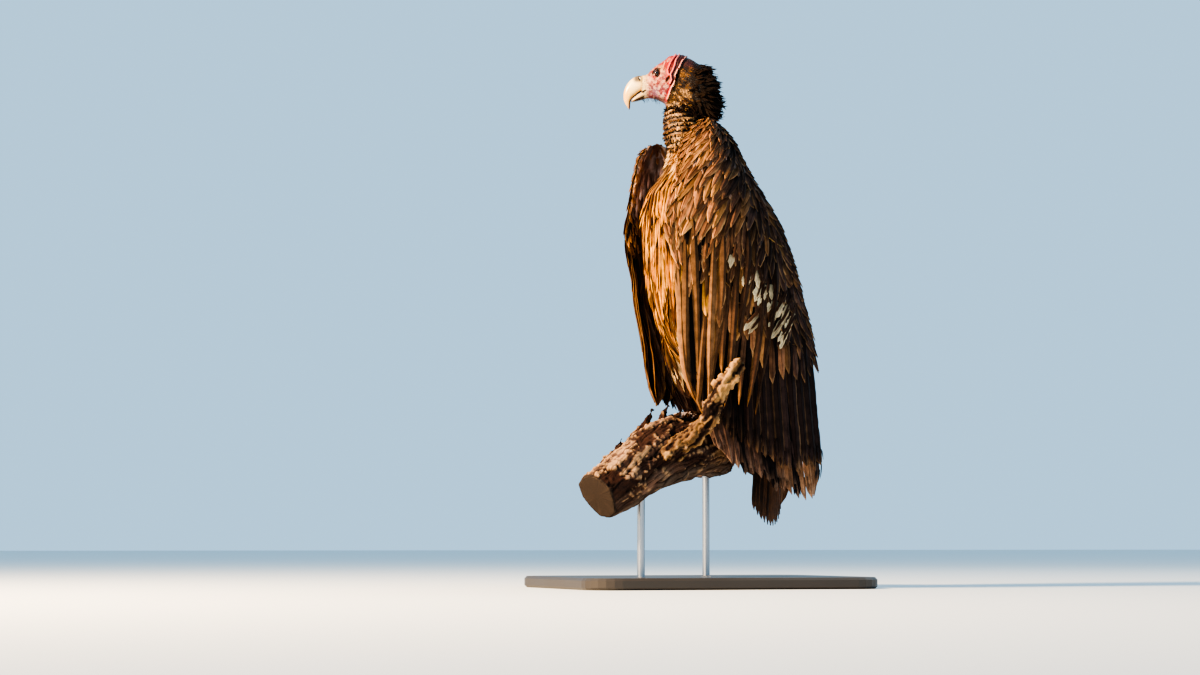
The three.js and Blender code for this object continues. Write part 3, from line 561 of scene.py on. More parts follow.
def vanes(name, spine, up, half, section, cup, thick, tones, rims, root_uv, rng, root_dark=0.45, ragged=0.12,
          side_lean=0.0, vary=0.16):
    """Closed vanes along spines of points: spine and up are (vanes, rows, 3), half is (vanes, rows).

    Each vane has its own tone, darker at its root, partly its own darker base and partly painted shade under
    the vanes that overlap it, and a rim tone, mostly paler and partly a painted highlight, that the finish
    lays along its edges and round its tip. cup is the drop of its edges, as a part of half, thick its
    thickness, ragged the wear of its edges, side_lean its roll in radians and vary how much the tones differ.
    """
    count, rows = half.shape
    ring = len(section)
    along = unit(np.gradient(spine, axis=1))
    across = unit(np.cross(along, up))
    up = unit(np.cross(across, along))
    if np.any(side_lean):
        lean = np.broadcast_to(np.asarray(side_lean, float), (count,))[:, None, None]
        across, up = across * np.cos(lean) + up * np.sin(lean), up * np.cos(lean) - across * np.sin(lean)
    a, drop, under = section.T
    worn = 1 - ragged * rng.random((count, rows, 2)) * (0.4 + np.linspace(0, 1, rows)[None, :, None])
    reach = np.where(a[None, None] < 0, worn[..., :1], worn[..., 1:]) * a
    cup = np.broadcast_to(np.asarray(cup, float), (count,))[:, None, None]
    points = (spine[:, :, None] + across[:, :, None] * (half[..., None] * reach)[..., None]
              - up[:, :, None] * (cup * half[..., None] * drop + thick * under)[..., None])
    base = (np.arange(count) * rows * ring)[:, None, None]
    r, k = np.meshgrid(np.arange(rows - 1), np.arange(ring), indexing="ij")
    k2 = (k + 1) % ring
    quads = np.stack([r * ring + k, r * ring + k2, (r + 1) * ring + k2, (r + 1) * ring + k], -1)
    quads = quads.reshape(1, -1, 4) + base
    root_cap = np.arange(ring)[::-1][None, None] + base
    tip_cap = ((rows - 1) * ring + np.arange(ring))[None, None] + base
    loops = np.concatenate([v.reshape(count, -1) for v in (quads, root_cap, tip_cap)], 1)
    sizes = np.tile(np.r_[np.full(quads.shape[1], 4), ring, ring], count)
    starts = np.r_[0, np.cumsum(sizes)[:-1]]
    thing = bare_mesh(name, points.reshape(-1, 3), loops.ravel(), starts)
    t = np.broadcast_to(np.linspace(0, 1, rows)[None, :, None], (count, rows, ring))
    own = (1 + vary * rng.standard_normal((count, 1, 1, 1))).clip(0.55, 1.6)
    # Darker towards the root: partly the vane's own darker base, partly painted shade under the vanes that
    # overlap it.
    shade = mix(root_dark, 1.0, step(0.0, 0.62, t))[..., None] * own
    paint(thing, "Plumage", (tones[:, None, None] * shade).reshape(-1, 3), t.ravel())
    paint(thing, "Rim", (rims[:, None, None] * shade).reshape(-1, 3))
    # One small patch for each vane at its root's place, and a second map for the barbs: from -1 to 1 across
    # the vane, and along it in centimetres.
    bake = np.broadcast_to(root_uv[:, None, None], (count, rows, ring, 2)).copy()
    bake[..., 0] += BAKE_PATCH * a
    bake[..., 1] += BAKE_PATCH * 2 * (t - 0.5)
    run = np.cumsum(np.linalg.norm(np.diff(spine, axis=1), axis=2), axis=1)
    run = np.r_["1", np.zeros((count, 1)), run][..., None] * 0.1
    vane = np.stack([np.broadcast_to(v, (count, rows, ring)) for v in (a, run)], -1)
    corner = loops.ravel()
    for label, values in (("OFBake", bake), ("Vane", vane)):
        layer = thing.data.uv_layers.new(name=label)
        layer.data.foreach_set("uv", values.reshape(-1, 2)[corner].astype(np.float32).ravel())
    return thing


def lance(rows, widest=0.45, tip=0.06, root=0.35, point=2.2):
    """Half width along a lance-shaped vane, as part of its widest."""
    t = np.linspace(0, 1, rows)
    before = root + (1 - root) * np.sin(0.5 * math.pi * np.clip(t / widest, 0, 1))
    after = np.clip(1 - ((t - widest) / (1 - widest)).clip(0, 1) ** point, 0, 1) ** 0.75
    return np.maximum(np.where(t < widest, before, after), tip)


def walk(tree, roots, headings, lengths, rows, low, high):
    """Lays spines over a surface from their roots. low and high are how far root and tip stand off it."""
    count = len(roots)
    spine, up = np.empty((count, rows, 3)), np.empty((count, rows, 3))
    for n in range(count):
        p, d = Vector(roots[n]), Vector(headings[n])
        stride = lengths[n] / (rows - 1)
        for r in range(rows):
            q, normal, _, _ = tree.find_nearest(p)
            d = d - normal * d.dot(normal)
            d = d.normalized() if d.length > 1e-4 else Vector((0, 0, -1))
            spine[n, r], up[n, r] = q, normal
            p = q + d * stride
    up[:, 1:-1] = unit(up[:, :-2] + up[:, 1:-1] + up[:, 2:])
    low, high = (np.broadcast_to(v, (count,))[:, None] for v in (low, high))
    lift = mix(low, high, np.linspace(0, 1, rows)[None] ** 1.4)
    return spine + up * lift[..., None], up


def scatter(thing, count, rng):
    """Random points over a mesh by area, with normals."""
    mesh = thing.data
    mesh.calc_loop_triangles()
    corners = np.empty(len(mesh.loop_triangles) * 3, np.int32)
    mesh.loop_triangles.foreach_get("vertices", corners)
    a, b, c = places(thing)[corners.reshape(-1, 3)].transpose(1, 0, 2)
    cross = np.cross(b - a, c - a)
    area = np.linalg.norm(cross, axis=1)
    pick = rng.choice(len(area), count, p=area / area.sum())
    u, v = rng.random((2, count, 1))
    flip = u + v > 1
    u, v = np.where(flip, 1 - u, u), np.where(flip, 1 - v, v)
    return a[pick] + u * (b - a)[pick] + v * (c - a)[pick], unit(cross[pick])


def spread(points, gaps):
    """Which points stand at least their own gap from those kept before them."""
    gaps = np.broadcast_to(gaps, (len(points),))
    keys = np.floor(points / float(np.max(gaps))).astype(int)
    around = [(dx, dy, dz) for dx in (-1, 0, 1) for dy in (-1, 0, 1) for dz in (-1, 0, 1)]
    kept, grid = [], {}
    for i, (p, (kx, ky, kz), gap) in enumerate(zip(points.tolist(), keys.tolist(), gaps.tolist())):
        close = any((p[0] - q[0]) ** 2 + (p[1] - q[1]) ** 2 + (p[2] - q[2]) ** 2 < gap * gap
                    for dx, dy, dz in around for q in grid.get((kx + dx, ky + dy, kz + dz), ()))
        if not close:
            grid.setdefault((kx, ky, kz), []).append(p)
            kept.append(i)
    return np.array(kept, int)


def dome(points):
    """How far the top of the far wing is fluffed up into a dome."""
    x, y, z = points.T
    lift = 10 * np.exp(-((x + 108) / 18) ** 2) - 8 * np.exp(-((x + 150) / 14) ** 2)
    return lift * step(880, 930, z) * step(960, 950, z) * step(48, 62, y)


def wing_measure(points):
    """Depth under the wing's outer face, share of the way from front to rear, and if that is on it."""
    x, y, z = points.T
    side = np.where(y < 0, LEFT, RIGHT)
    front, rear = front_of(z, side), wing_rear(z)
    share = np.clip(share_of(x, z, side), 0, 1)
    depth = (wing_out(x, z, side) - np.abs(y)) / np.sqrt(1 + wing_slope(x, z, side) ** 2)
    within = (x > front - 8) & (x < rear + 8) & (z > covert_end(share) - 25) & (z < 988)
    on = within & (depth > -6) & (depth < 17)
    return depth, share, on


def regions(points):
    """The part of the bird under each point: face, down, neck, wing, leg or body."""
    x, y, z = points.T
    forward, up, _ = head_space(points)
    _, _, wing = wing_measure(points)
    label = np.full(len(points), "body")
    label[(z < LEG_TOP) & (np.abs(y) > 14)] = "leg"
    label[wing] = "wing"
    label[(z > NECK_FOOT) & (z <= NECK_TOP) & (np.hypot(x - NECK_X, y) < 56)] = "neck"
    label[(z > NECK_TOP) | ((z > 980) & (up > head_bottom(forward) - 6) & (forward > -84))] = "down"
    label[(label == "down") & (forward > bare_edge(up))] = "face"
    return label


def markings(points):
    """The bird's colours at any points, the same for its skin and its coat."""
    label = regions(points)
    forward, up, _ = head_space(points)
    depth, _, _ = wing_measure(points)
    colour = body_tone(points)
    for name, tones in (("face", lambda m: face_tone(forward[m], up[m], points[m])),
                        ("down", lambda m: down_tone(forward[m], up[m], points[m])),
                        ("neck", lambda m: neck_tone(points[m])), ("leg", lambda m: leg_tone(points[m])),
                        ("wing", lambda m: wing_tone(points[m], depth[m] > WING_THICK))):
        chosen = label == name
        if chosen.any():
            colour[chosen] = tones(chosen)
    return colour


# ---------------------------------------------------------------- materials
def wire(material, source, target):
    """Links an output, or a node's first output, to an input."""
    if isinstance(source, bpy.types.Node):
        source = source.outputs[0]
    material.node_tree.links.new(source, target)


def node(material, kind, settings=(), links=()):
    """Adds a shader node with its settings and the outputs that feed it."""
    new = material.node_tree.nodes.new("ShaderNode" + kind)
    for key, value in dict(settings).items():
        if isinstance(key, int) or key in new.inputs:
            new.inputs[key].default_value = value
        else:
            setattr(new, key, value)
    for key, source in dict(links).items():
        wire(material, source, new.inputs[key])
    return new


def finish(name, settings):
    """A new material, its Principled shader with constant settings, and what adds a node to it."""
    material = bpy.data.materials.new(name)
    material.use_nodes = True
    shader = material.node_tree.nodes["Principled BSDF"]
    for key, value in settings.items():
        shader.inputs[key].default_value = value
    return material, shader, partial(node, material)


# Distance from barb to barb in centimetres.
BARB_GAP = 0.24


def plumage_finish(name, rough):
    """Feather keratin: matt, with rims that are paler, partly worn and partly painted highlights, a darker
    shaft, and slanting barbs either side of it.

    Real barbs are about 0.3 mm apart, and are drawn 2.4 mm apart so that they show.
    """
    material, shader, add = finish(name, {"Roughness": rough, "Specular IOR Level": 0.12})
    colour = add("Attribute", {"attribute_name": "Plumage"})
    rim = add("Attribute", {"attribute_name": "Rim"})
    vane = add("UVMap", {"uv_map": "Vane"})
    parts = add("SeparateXYZ", links={0: vane})
    across = add("Math", {"operation": "ABSOLUTE"}, {0: parts})
    slant = add("Math", {"operation": "MULTIPLY_ADD", 1: 1.1}, {0: across, 2: parts.outputs[1]})
    turn = add("Math", {"operation": "MULTIPLY", 1: 2 * math.pi / BARB_GAP}, {0: slant})
    barb = add("Math", {"operation": "SINE"}, {0: turn})
    place = add("TexCoord").outputs["Object"]
    mottle = add("TexNoise", {"Scale": 60.0, "Detail": 5.0, "Roughness": 0.66}, {"Vector": place})
    edge = add("MapRange", {"From Min": 0.6, "From Max": 0.92, "interpolation_type": "SMOOTHSTEP"},
               {"Value": across})
    end = add("MapRange", {"From Min": 0.86, "From Max": 0.99, "interpolation_type": "SMOOTHSTEP"},
              {"Value": colour.outputs["Alpha"]})
    rimmed = add("Math", {"operation": "MAXIMUM"}, {0: edge, 1: end})
    both = add("MixRGB", {}, {"Fac": rimmed, "Color1": colour, "Color2": rim})
    shaft = add("MapRange", {"From Min": 0.05, "From Max": 0.14, "To Min": 0.55, "To Max": 1.0},
                {"Value": across})
    light = add("MapRange", {"From Min": 0.28, "From Max": 0.72, "To Min": 0.5, "To Max": 1.45},
                {"Value": mottle})
    line = add("MapRange", {"From Min": -1.0, "From Max": 1.0, "To Min": 0.86, "To Max": 1.1},
               {"Value": barb})
    worn = add("Math", {"operation": "MULTIPLY"}, {0: light, 1: line})
    total = add("Math", {"operation": "MULTIPLY"}, {0: worn, 1: shaft})
    shaded = add("VectorMath", {"operation": "SCALE"}, {0: both, "Scale": total})
    relief = add("Bump", {"Strength": 0.5, "Distance": 0.0004}, {"Height": barb})
    wire(material, shaded, shader.inputs["Base Color"])
    wire(material, relief, shader.inputs["Normal"])
    return material


def lit_by(material, shader, pattern, low, high, dark, bright):
    """Gives a shader the piece's markings, dark to bright times as light as a pattern goes low to high."""
    colour = node(material, "Attribute", {"attribute_name": "Markings"})
    light = node(material, "MapRange", {"From Min": low, "From Max": high, "To Min": dark, "To Max": bright},
                 {"Value": pattern})
    shaded = node(material, "VectorMath", {"operation": "SCALE"}, {0: colour, "Scale": light})
    wire(material, shaded, shader.inputs["Base Color"])


def skin_finish():
    """Bare vulture skin: soft, a little translucent, finely wrinkled and beaded about 1.6 mm apart."""
    material, shader, add = finish("bare skin", {
        "Roughness": 0.52, "Specular IOR Level": 0.3, "Subsurface Weight": 0.06, "Subsurface Scale": 0.004,
        "Subsurface Radius": (1.0, 0.35, 0.2)})
    place = add("TexCoord").outputs["Object"]
    beads = add("TexVoronoi", {"Scale": 620.0}, {"Vector": place})
    crease = add("TexNoise", {"Scale": 260.0, "Detail": 5.0, "Roughness": 0.6}, {"Vector": place})
    height = add("Math", {"operation": "ADD"}, {0: beads, 1: crease})
    relief = add("Bump", {"Strength": 0.55, "Distance": 0.0006}, {"Height": height})
    lit_by(material, shader, crease, 0.3, 0.7, 0.78, 1.2)
    wire(material, relief, shader.inputs["Normal"])
    return material


def horn_finish(name, rough, coat, streak):
    """Keratin horn: worn smooth, with growth streaks about 2 mm wide that run along it."""
    material, shader, add = finish(name, {"Roughness": rough, "Coat Weight": coat, "Coat Roughness": 0.25,
                                          "IOR": 1.54})
    place = add("TexCoord").outputs["Object"]
    along = add("Mapping", {"Scale": streak}, {"Vector": place})
    grain = add("TexNoise", {"Scale": 90.0, "Detail": 5.0, "Roughness": 0.6}, {"Vector": along})
    relief = add("Bump", {"Strength": 0.3, "Distance": 0.0004}, {"Height": grain})
    lit_by(material, shader, grain, 0.3, 0.7, 0.84, 1.12)
    wire(material, relief, shader.inputs["Normal"])
    return material


def eye_finish():
    """A wet eye: dark brown iris and pupil under a clear, glossy cornea."""
    material, shader, add = finish("wet eyeball", {
        "Roughness": 0.08, "IOR": 1.38, "Coat Weight": 1.0, "Coat Roughness": 0.02})
    place = add("TexCoord").outputs["Object"]
    fibre = add("TexNoise", {"Scale": 900.0, "Detail": 2.0}, {"Vector": place})
    lit_by(material, shader, fibre, 0.3, 0.7, 0.7, 1.3)
    return material


def wood_finish():
    """Sun-bleached dead wood: dry, fibrous, with fibres about 2 mm wide drawn out along the limb."""
    material, shader, add = finish("dead wood", {"Roughness": 0.86, "Specular IOR Level": 0.2})
    grain = add("Attribute", {"attribute_name": "Grain"})
    fibre = add("TexNoise", {"Scale": 1.0, "Detail": 6.0, "Roughness": 0.68},
                {"Vector": grain.outputs["Vector"]})
    place = add("TexCoord").outputs["Object"]
    crumb = add("TexNoise", {"Scale": 420.0, "Detail": 3.0}, {"Vector": place})
    height = add("Math", {"operation": "MULTIPLY_ADD", 1: 0.3}, {0: crumb, 2: fibre})
    relief = add("Bump", {"Strength": 0.9, "Distance": 0.0022}, {"Height": height})
    lit_by(material, shader, fibre, 0.28, 0.72, 0.5, 1.4)
    wire(material, relief, shader.inputs["Normal"])
    return material


def board_finish(colour):
    """A board sprayed with satin paint: even colour with faint orange-peel, 3 mm across."""
    material, shader, add = finish("satin painted board", {"Roughness": 0.42})
    place = add("TexCoord").outputs["Object"]
    peel = add("TexNoise", {"Scale": 330.0, "Detail": 2.0}, {"Vector": place})
    cloud = add("TexNoise", {"Scale": 9.0, "Detail": 3.0}, {"Vector": place})
    shade = add("MixRGB", {"Color1": (*colour, 1), "Color2": (*[v * 1.35 for v in colour], 1)},
                {"Fac": cloud})
    rough = add("MapRange", {"To Min": 0.36, "To Max": 0.5}, {"Value": cloud})
    relief = add("Bump", {"Strength": 0.25, "Distance": 0.0003}, {"Height": peel})
    wire(material, shade, shader.inputs["Base Color"])
    wire(material, rough, shader.inputs["Roughness"])
    wire(material, relief, shader.inputs["Normal"])
    return material


def rod_finish(colour):
    """Cold-drawn steel rod, brushed along its length: fine lines that catch the light, 0.6 mm apart."""
    material, shader, add = finish("brushed steel rod", {"Metallic": 1.0, "Roughness": 0.34})
    place = add("TexCoord").outputs["Object"]
    drawn = add("Mapping", {"Scale": (1.0, 1.0, 0.03)}, {"Vector": place})
    lines = add("TexNoise", {"Scale": 1600.0, "Detail": 2.0}, {"Vector": drawn})
    shade = add("MixRGB", {"Color1": (*[v * 0.8 for v in colour], 1), "Color2": (*colour, 1)}, {"Fac": lines})
    rough = add("MapRange", {"To Min": 0.28, "To Max": 0.42}, {"Value": lines})
    wire(material, shade, shader.inputs["Base Color"])
    wire(material, rough, shader.inputs["Roughness"])
    return material


def keep(thing, material, slot, *nodes):
    """Gives a finished piece its material and its body, and hides the nodes it stands for. The slot is not
    used.
    """
    thing.data.materials.clear()
    thing.data.materials.append(material)
    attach(thing, "root")
    if nodes:
        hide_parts(*nodes)
    return thing


def plumage(name, rough=0.66):
    """The plumage finish of that name, made once."""
    return bpy.data.materials.get(name) or plumage_finish(name, rough)


# ---------------------------------------------------------------- flesh
def coat_depth(label, points):
    """How far the skin lies inside the coat's own outline."""
    under, _, _ = wing_measure(points)
    return np.select([label == "face", label == "down", label == "neck",
                      (label == "wing") & (under < WING_THICK), label == "wing", label == "leg"],
                     [0.3, 2.6, 2.0, 5.0, 3.0, 4.0], 5.0)


def snap_to_skull(points):
    """Moves points near the skull's surface on to its sections, which are rounded boxes of power 2.2."""
    forward, up, right = head_space(points)
    top, bottom, half = head_top(forward), head_bottom(forward), head_half(forward)
    centre, tall = (top + bottom) / 2, (top - bottom) / 2
    k = (np.abs(right / half) ** 2.2 + np.abs((up - centre) / tall) ** 2.2) ** (1 / 2.2)
    k = np.maximum(k, 0.05)
    new = from_head(forward, centre + (up - centre) / k, right / k)
    near = step(1.22, 1.08, k) * step(0.7, 0.82, k) * step(-80, -66, forward)
    return mix(points, new, near[:, None])


def sculpt_head(points, normals):
    """Folds, ear, lids, socket, gape and cheek pads of the bare head, as moves along the normals."""
    forward, up, right = head_space(points)
    side = np.abs(right) > 9
    rise = np.zeros(len(points))
    upper = step(-50, -40, up)
    for fold, height in zip(FOLDS, (2.1, 2.4, 2.6)):
        off = to_line(forward, up, fold)
        rise += height * np.exp(-(off / 1.5) ** 2) * upper
        rise -= 0.9 * np.exp(-((np.abs(off) - 3.6) / 1.6) ** 2) * upper
    rise += 0.9 * np.exp(-(to_line(forward, up, FAINT_FOLD) / 1.6) ** 2)
    ear = ear_ring(forward, up)
    rise -= 3.2 * step(1.15, 0.3, ear) * side
    rise += 0.6 * np.exp(-((ear - 1.5) / 0.35) ** 2) * side
    ring = eye_ring(points)
    rise += (1.9 * np.exp(-((ring - 1.22) / 0.2) ** 2) - 0.7 * np.exp(-((ring - 1.85) / 0.3) ** 2)) * side
    brow = to_line(forward, up, BROW)
    rise += (1.8 * np.exp(-((brow - 2.6) / 1.8) ** 2) - 0.9 * np.exp(-(brow / 1.1) ** 2)) * side
    rise -= 1.5 * np.exp(-(to_line(forward, up, GAPE) / 1.1) ** 2) * side
    rise += 1.0 * np.exp(-(to_line(forward, up, POUCH) / 3.0) ** 2) * side
    rise += (0.45 * noise(points, 5.5, 31) + 0.3 * noise(points, 2.6, 32)) * step(70, 55, forward)
    points = points + normals * rise[:, None]
    # The eye's opening goes in behind the eyeball.
    out = np.abs(right)
    into = step(1.02, 0.8, ring) * (out > 14) * (up > -5)
    slide = (np.maximum(out - 12.5, 0) * into * np.sign(right))[:, None]
    return points - slide * SIDEWAYS


class VULTURE_OT_skin(bpy.types.Operator):
    """One skin over head, neck, trunk, thighs, shanks, feet and wing arms"""
    bl_idname = "vulture.skin"
    bl_label = "Skin"

    def execute(self, context):
        sizes = context.scene.vulture_sizes
        flesh = ["trunk", "neck", "head", "thigh_left", "thigh_right", "wing_left_coverts",
                 "wing_right_coverts"]
        skin = copy_of_nodes("skin", flesh)
        swell = 1.3
        remeshed(skin, sizes.skin_voxel / MM, swell)
        # The head gets finer faces in three steps towards the bill, and the neck in one.
        for low, front in ((985, -80), (1012, -22), (1030, -8)):
            points = places(skin)
            forward, _, _ = head_space(points)
            refine(skin, (points[:, 2] > low) & (forward > front))
        x, y, z = places(skin).T
        refine(skin, (z > 905) & (z < 1000) & (np.abs(y) < 60) & (x < -30))
        points, normals = places(skin), vertex_normals(skin)
        label = regions(points)
        points = points - normals * (swell + coat_depth(label, points))[:, None]
        points[:, 2] += dome(points)
        moved = snap_to_skull(points)
        move_to(skin, moved)
        inset = coat_depth(label, moved)[:, None] * np.isin(label, ("face", "down"))[:, None]
        points = moved - vertex_normals(skin) * inset
        move_to(skin, points)
        normals = vertex_normals(skin)
        points = np.where((points[:, 2] > 1000)[:, None], sculpt_head(points, normals), points)
        _, y, z = points.T
        folds = 2.0 * neck_wave(points) * step(900, 925, z) * step(1020, 1000, z) * (np.abs(y) < 58)
        points = points + normals * (folds * (label == "neck"))[:, None]
        move_to(skin, points)
        # Painted shade: under the feathers the skin takes the markings darkened, as the shade among them; the
        # neck less so, the face not at all.
        shade_under_coat = np.where(label == "face", 1.0, np.where(label == "neck", 0.8, 0.35))
        paint(skin, "Markings", markings(points) * shade_under_coat[:, None])
        self.feet(skin)
        keep(skin, skin_finish(), "bare_skin", *flesh, "shank_left", "shank_right", "foot_left", "foot_right")
        return {"FINISHED"}

    def feet(self, skin):
        """Scaly shanks and toes, joined into the skin."""
        feet = copy_of_nodes("feet", ["shank_left", "foot_left", "shank_right", "foot_right"])
        remeshed(feet, 2.0, 0.7, whole=False)
        points, normals = places(feet), vertex_normals(feet)
        ankle = np.where(points[:, 1:2] < 0, [[-46.0, -42.0, 348.0]], [[-30.0, 44.0, 348.0]])
        away = np.linalg.norm(points - ankle, axis=1)
        up = np.clip(normals[:, 2], 0, 1)
        # Scutes 6.2 mm long across the tops of the toes.
        scute = np.abs(np.sin(math.pi * away / 6.2)) ** 0.6
        shank = step(352, 362, points[:, 2])
        rise = -0.5 + (1.3 * scute * (0.35 + 0.65 * up)) * (1 - shank) + 0.5 * noise(points, 4.5, 41)
        move_to(feet, points + normals * rise[:, None])
        # The scutes are paler than the skin between them, and painted lighter still where they face up, as a
        # painted highlight from above.
        paint(feet, "Markings", layered("#8d7f78", ("#c3aea6", scute * (0.4 + 0.6 * up)),
                                        ("#6d625c", step(0.1, 0.8, noise(points, 6, 42)) * 0.5)))
        join("skin", [skin, feet])


# ---------------------------------------------------------------- bill, eyes and claws
# Lines of the upper bill in side view, (forward, up) from the skull's centre, and its half widths. The lower
# bill's sections are (forward, top, bottom, half width).
BILL_TOP = [(76, 8.4), (82, 9.4), (90, 9), (98, 5), (106, -2), (113.5, -12.5), (118, -26), (118, -41),
            (113, -53), (107, -62)]
BILL_EDGE = [(76, -22), (82, -25), (86, -27.5), (91, -31), (96.5, -35.5), (101, -40), (103.5, -45),
             (104.2, -51), (104.6, -57), (105.6, -62.3)]
BILL_HALF_WIDTH = [13.2, 14.5, 14.2, 13.4, 12.2, 10.6, 8.6, 6.4, 4, 0.9]
MANDIBLE = [(76, -24.5, -40.5, 12), (82, -26.2, -42.3, 12.5), (88, -30, -44, 11.6), (94, -34.6, -45.3, 10),
            (99, -39.2, -46, 7.6), (102.2, -43.2, -46.4, 3.0)]


def rounded(centre, across, half, along, tall, sides, power):
    """Rings of a rounded-box outline: centre and along are (rings, 3), half and tall one size for each."""
    angle = np.arange(sides) * 2 * math.pi / sides
    c, s = np.cos(angle), np.sin(angle)
    k = 1 / (np.abs(c) ** power + np.abs(s) ** power) ** (1 / power)
    wide, high = (half[:, None] * c * k)[..., None], (tall[:, None] * s * k)[..., None]
    return centre[:, None] + across * wide + along[:, None] * high


def lofted(name, rings):
    """A closed mesh through equal rings of points, with a flat cap at each end."""
    rows, sides = rings.shape[:2]
    r, k = np.meshgrid(np.arange(rows - 1), np.arange(sides), indexing="ij")
    k2 = (k + 1) % sides
    quads = np.stack([r * sides + k, r * sides + k2, (r + 1) * sides + k2, (r + 1) * sides + k],
                     -1).reshape(-1)
    loops = np.r_[quads, np.arange(sides)[::-1], (rows - 1) * sides + np.arange(sides)]
    starts = np.r_[np.arange((rows - 1) * sides) * 4, len(quads), len(quads) + sides]
    thing = bare_mesh(name, rings.reshape(-1, 3), loops, starts)
    face_outwards(thing)
    return thing


def along_list(values, rows):
    """A smooth run of that many values through a list of numbers or points."""
    values = np.array(values, float)
    values = values[:, None] if values.ndim == 1 else values
    at = np.linspace(0, len(values) - 1, rows)
    return np.stack([curve(*enumerate(column))(at) for column in values.T], -1)


class VULTURE_OT_bill(bpy.types.Operator):
    """Hooked upper bill and lower bill, smooth horn"""
    bl_idname = "vulture.bill"
    bl_label = "Bill"

    def execute(self, context):
        horn = horn_finish("bill horn", 0.3, 0.35, (0.5, 0.5, 1.4))
        for name, node_name, make in (("bill_horn_upper", "bill_upper", self.upper),
                                      ("bill_horn_lower", "bill_lower", self.lower)):
            keep(make(name), horn, "bill_horn", node_name)
        return {"FINISHED"}

    def upper(self, name):
        rows = 84
        top, edge = along_list(BILL_TOP, rows), along_list(BILL_EDGE, rows)
        half = along_list(BILL_HALF_WIDTH, rows)[:, 0]
        head, foot = (from_head(line[:, 0], line[:, 1], np.zeros(rows)) for line in (top, edge))
        tall = np.linalg.norm(head - foot, axis=1) / 2
        bill = lofted(name, rounded((head + foot) / 2, SIDEWAYS, half, unit(head - foot), tall, 56, 2.3))
        points, normals = places(bill), vertex_normals(bill)
        forward, up, _ = head_space(points)
        nostril = np.hypot((forward - 84.5 - 0.3 * (up - 1)) / 2.0, (up - 1.5) / 4.6)
        tomium = to_line(forward, up, [(90, -28), (96, -33), (100.5, -37.5)])
        rise = -2.4 * step(1.25, 0.5, nostril) + 0.5 * np.exp(-((nostril - 1.4) / 0.25) ** 2)
        rise += 0.35 * np.exp(-(tomium / 1.4) ** 2)
        move_to(bill, points + normals * rise[:, None])
        lip = np.abs(to_line(forward, up, BILL_EDGE[1:]))
        # Painted highlight: the pale cream patch in the middle of each side of the bill.
        paint(bill, "Markings", layered(
            "#e8bf70", ("#fbe6b8", np.exp(-((forward - 98) / 13) ** 2 - ((up + 12) / 14) ** 2) * 0.9),
            ("#dca556", step(106, 117, forward) * 0.85),
            ("#5c4a34", step(-9, -2, up) * step(78, 84, forward) * step(102, 92, forward) * 0.95),
            ("#a5793f", step(-44, -60, up) * 0.8), ("#b8793c", step(6.5, 2.5, lip) * 0.6),
            ("#2c150b", step(3.6, 1.6, lip) * 0.95), ("#2e221a", step(1.2, 0.75, nostril))))
        return bill

    def lower(self, name):
        rows = 40
        forward, top, bottom, half = along_list(MANDIBLE, rows).T
        centre = from_head(forward, (top + bottom) / 2, np.zeros(rows))
        bill = lofted(name, rounded(centre, SIDEWAYS, half, np.tile(UP, (rows, 1)), (top - bottom) / 2,
                                    44, 2.2))
        forward, up, _ = head_space(places(bill))
        middle = curve((76, -32), (88, -37), (99, -42.6))(forward)
        # Painted shade: the lower bill is painted dark below its middle line, as its shaded underside.
        paint(bill, "Markings", layered("#dcb87c", ("#2e1c12", step(0.5, -3.5, up - middle)),
                                        ("#b08a5c", step(92, 102, forward) * 0.6)))
        return bill


class VULTURE_OT_eyes(bpy.types.Operator):
    """Eyeballs with a bulging cornea over a dark iris"""
    bl_idname = "vulture.eyes"
    bl_label = "Eyes"

    def execute(self, context):
        wet = eye_finish()
        for side, word in SIDES:
            bpy.ops.object.select_all(action="DESELECT")
            bpy.ops.mesh.primitive_uv_sphere_add(segments=48, ring_count=32, radius=1)
            ball = context.active_object
            ball.name = ball.data.name = f"eyeball_{word}"
            unit_points = (places(ball) + SHIFT) * MM
            angle = np.degrees(np.arccos(np.clip(unit_points[:, 2], -1, 1)))
            radius = EYE["radius"] - 0.5 + 0.55 * step(44, 20, angle)
            look = unit(SIDEWAYS * side + FORWARD * 0.12 + UP * 0.02)
            level = unit(np.cross(look, UP))
            axes = np.stack([level, np.cross(look, level), look])
            centre = from_head(EYE["forward"], EYE["up"], side * EYE["out"])
            move_to(ball, centre + (unit_points * radius[:, None]) @ axes)
            paint(ball, "Markings", layered("#050303", ("#3c2010", step(20, 23, angle)),
                                            ("#120a07", step(33, 38, angle))))
            only(ball)
            bpy.ops.object.shade_smooth()
            face_outwards(ball)
            keep(ball, wet, "eyeball", f"eye_{word}")
        return {"FINISHED"}


class VULTURE_OT_claws(bpy.types.Operator):
    """Eight curved claws"""
    bl_idname = "vulture.claws"
    bl_label = "Claws"

    def execute(self, context):
        nodes = [f"claw_{word}_{i}" for _, word in SIDES for i in range(1, 5)]
        claws = copy_of_nodes("claws", nodes)
        modify(claws, "SUBSURF", levels=2, render_levels=2)
        only(claws)
        bpy.ops.object.shade_smooth()
        shade = step(-0.4, 0.7, noise(places(claws), 7, 51))
        paint(claws, "Markings", layered("#1f1a17", ("#4c423a", shade)))
        keep(claws, horn_finish("claw horn", 0.38, 0.2, (1.0, 1.0, 0.4)), "claw_horn", *nodes)
        return {"FINISHED"}


# ---------------------------------------------------------------- coat
# Random points over the skin, from which roots are picked.
HEAD_POINTS, BODY_POINTS = 120000, 90000


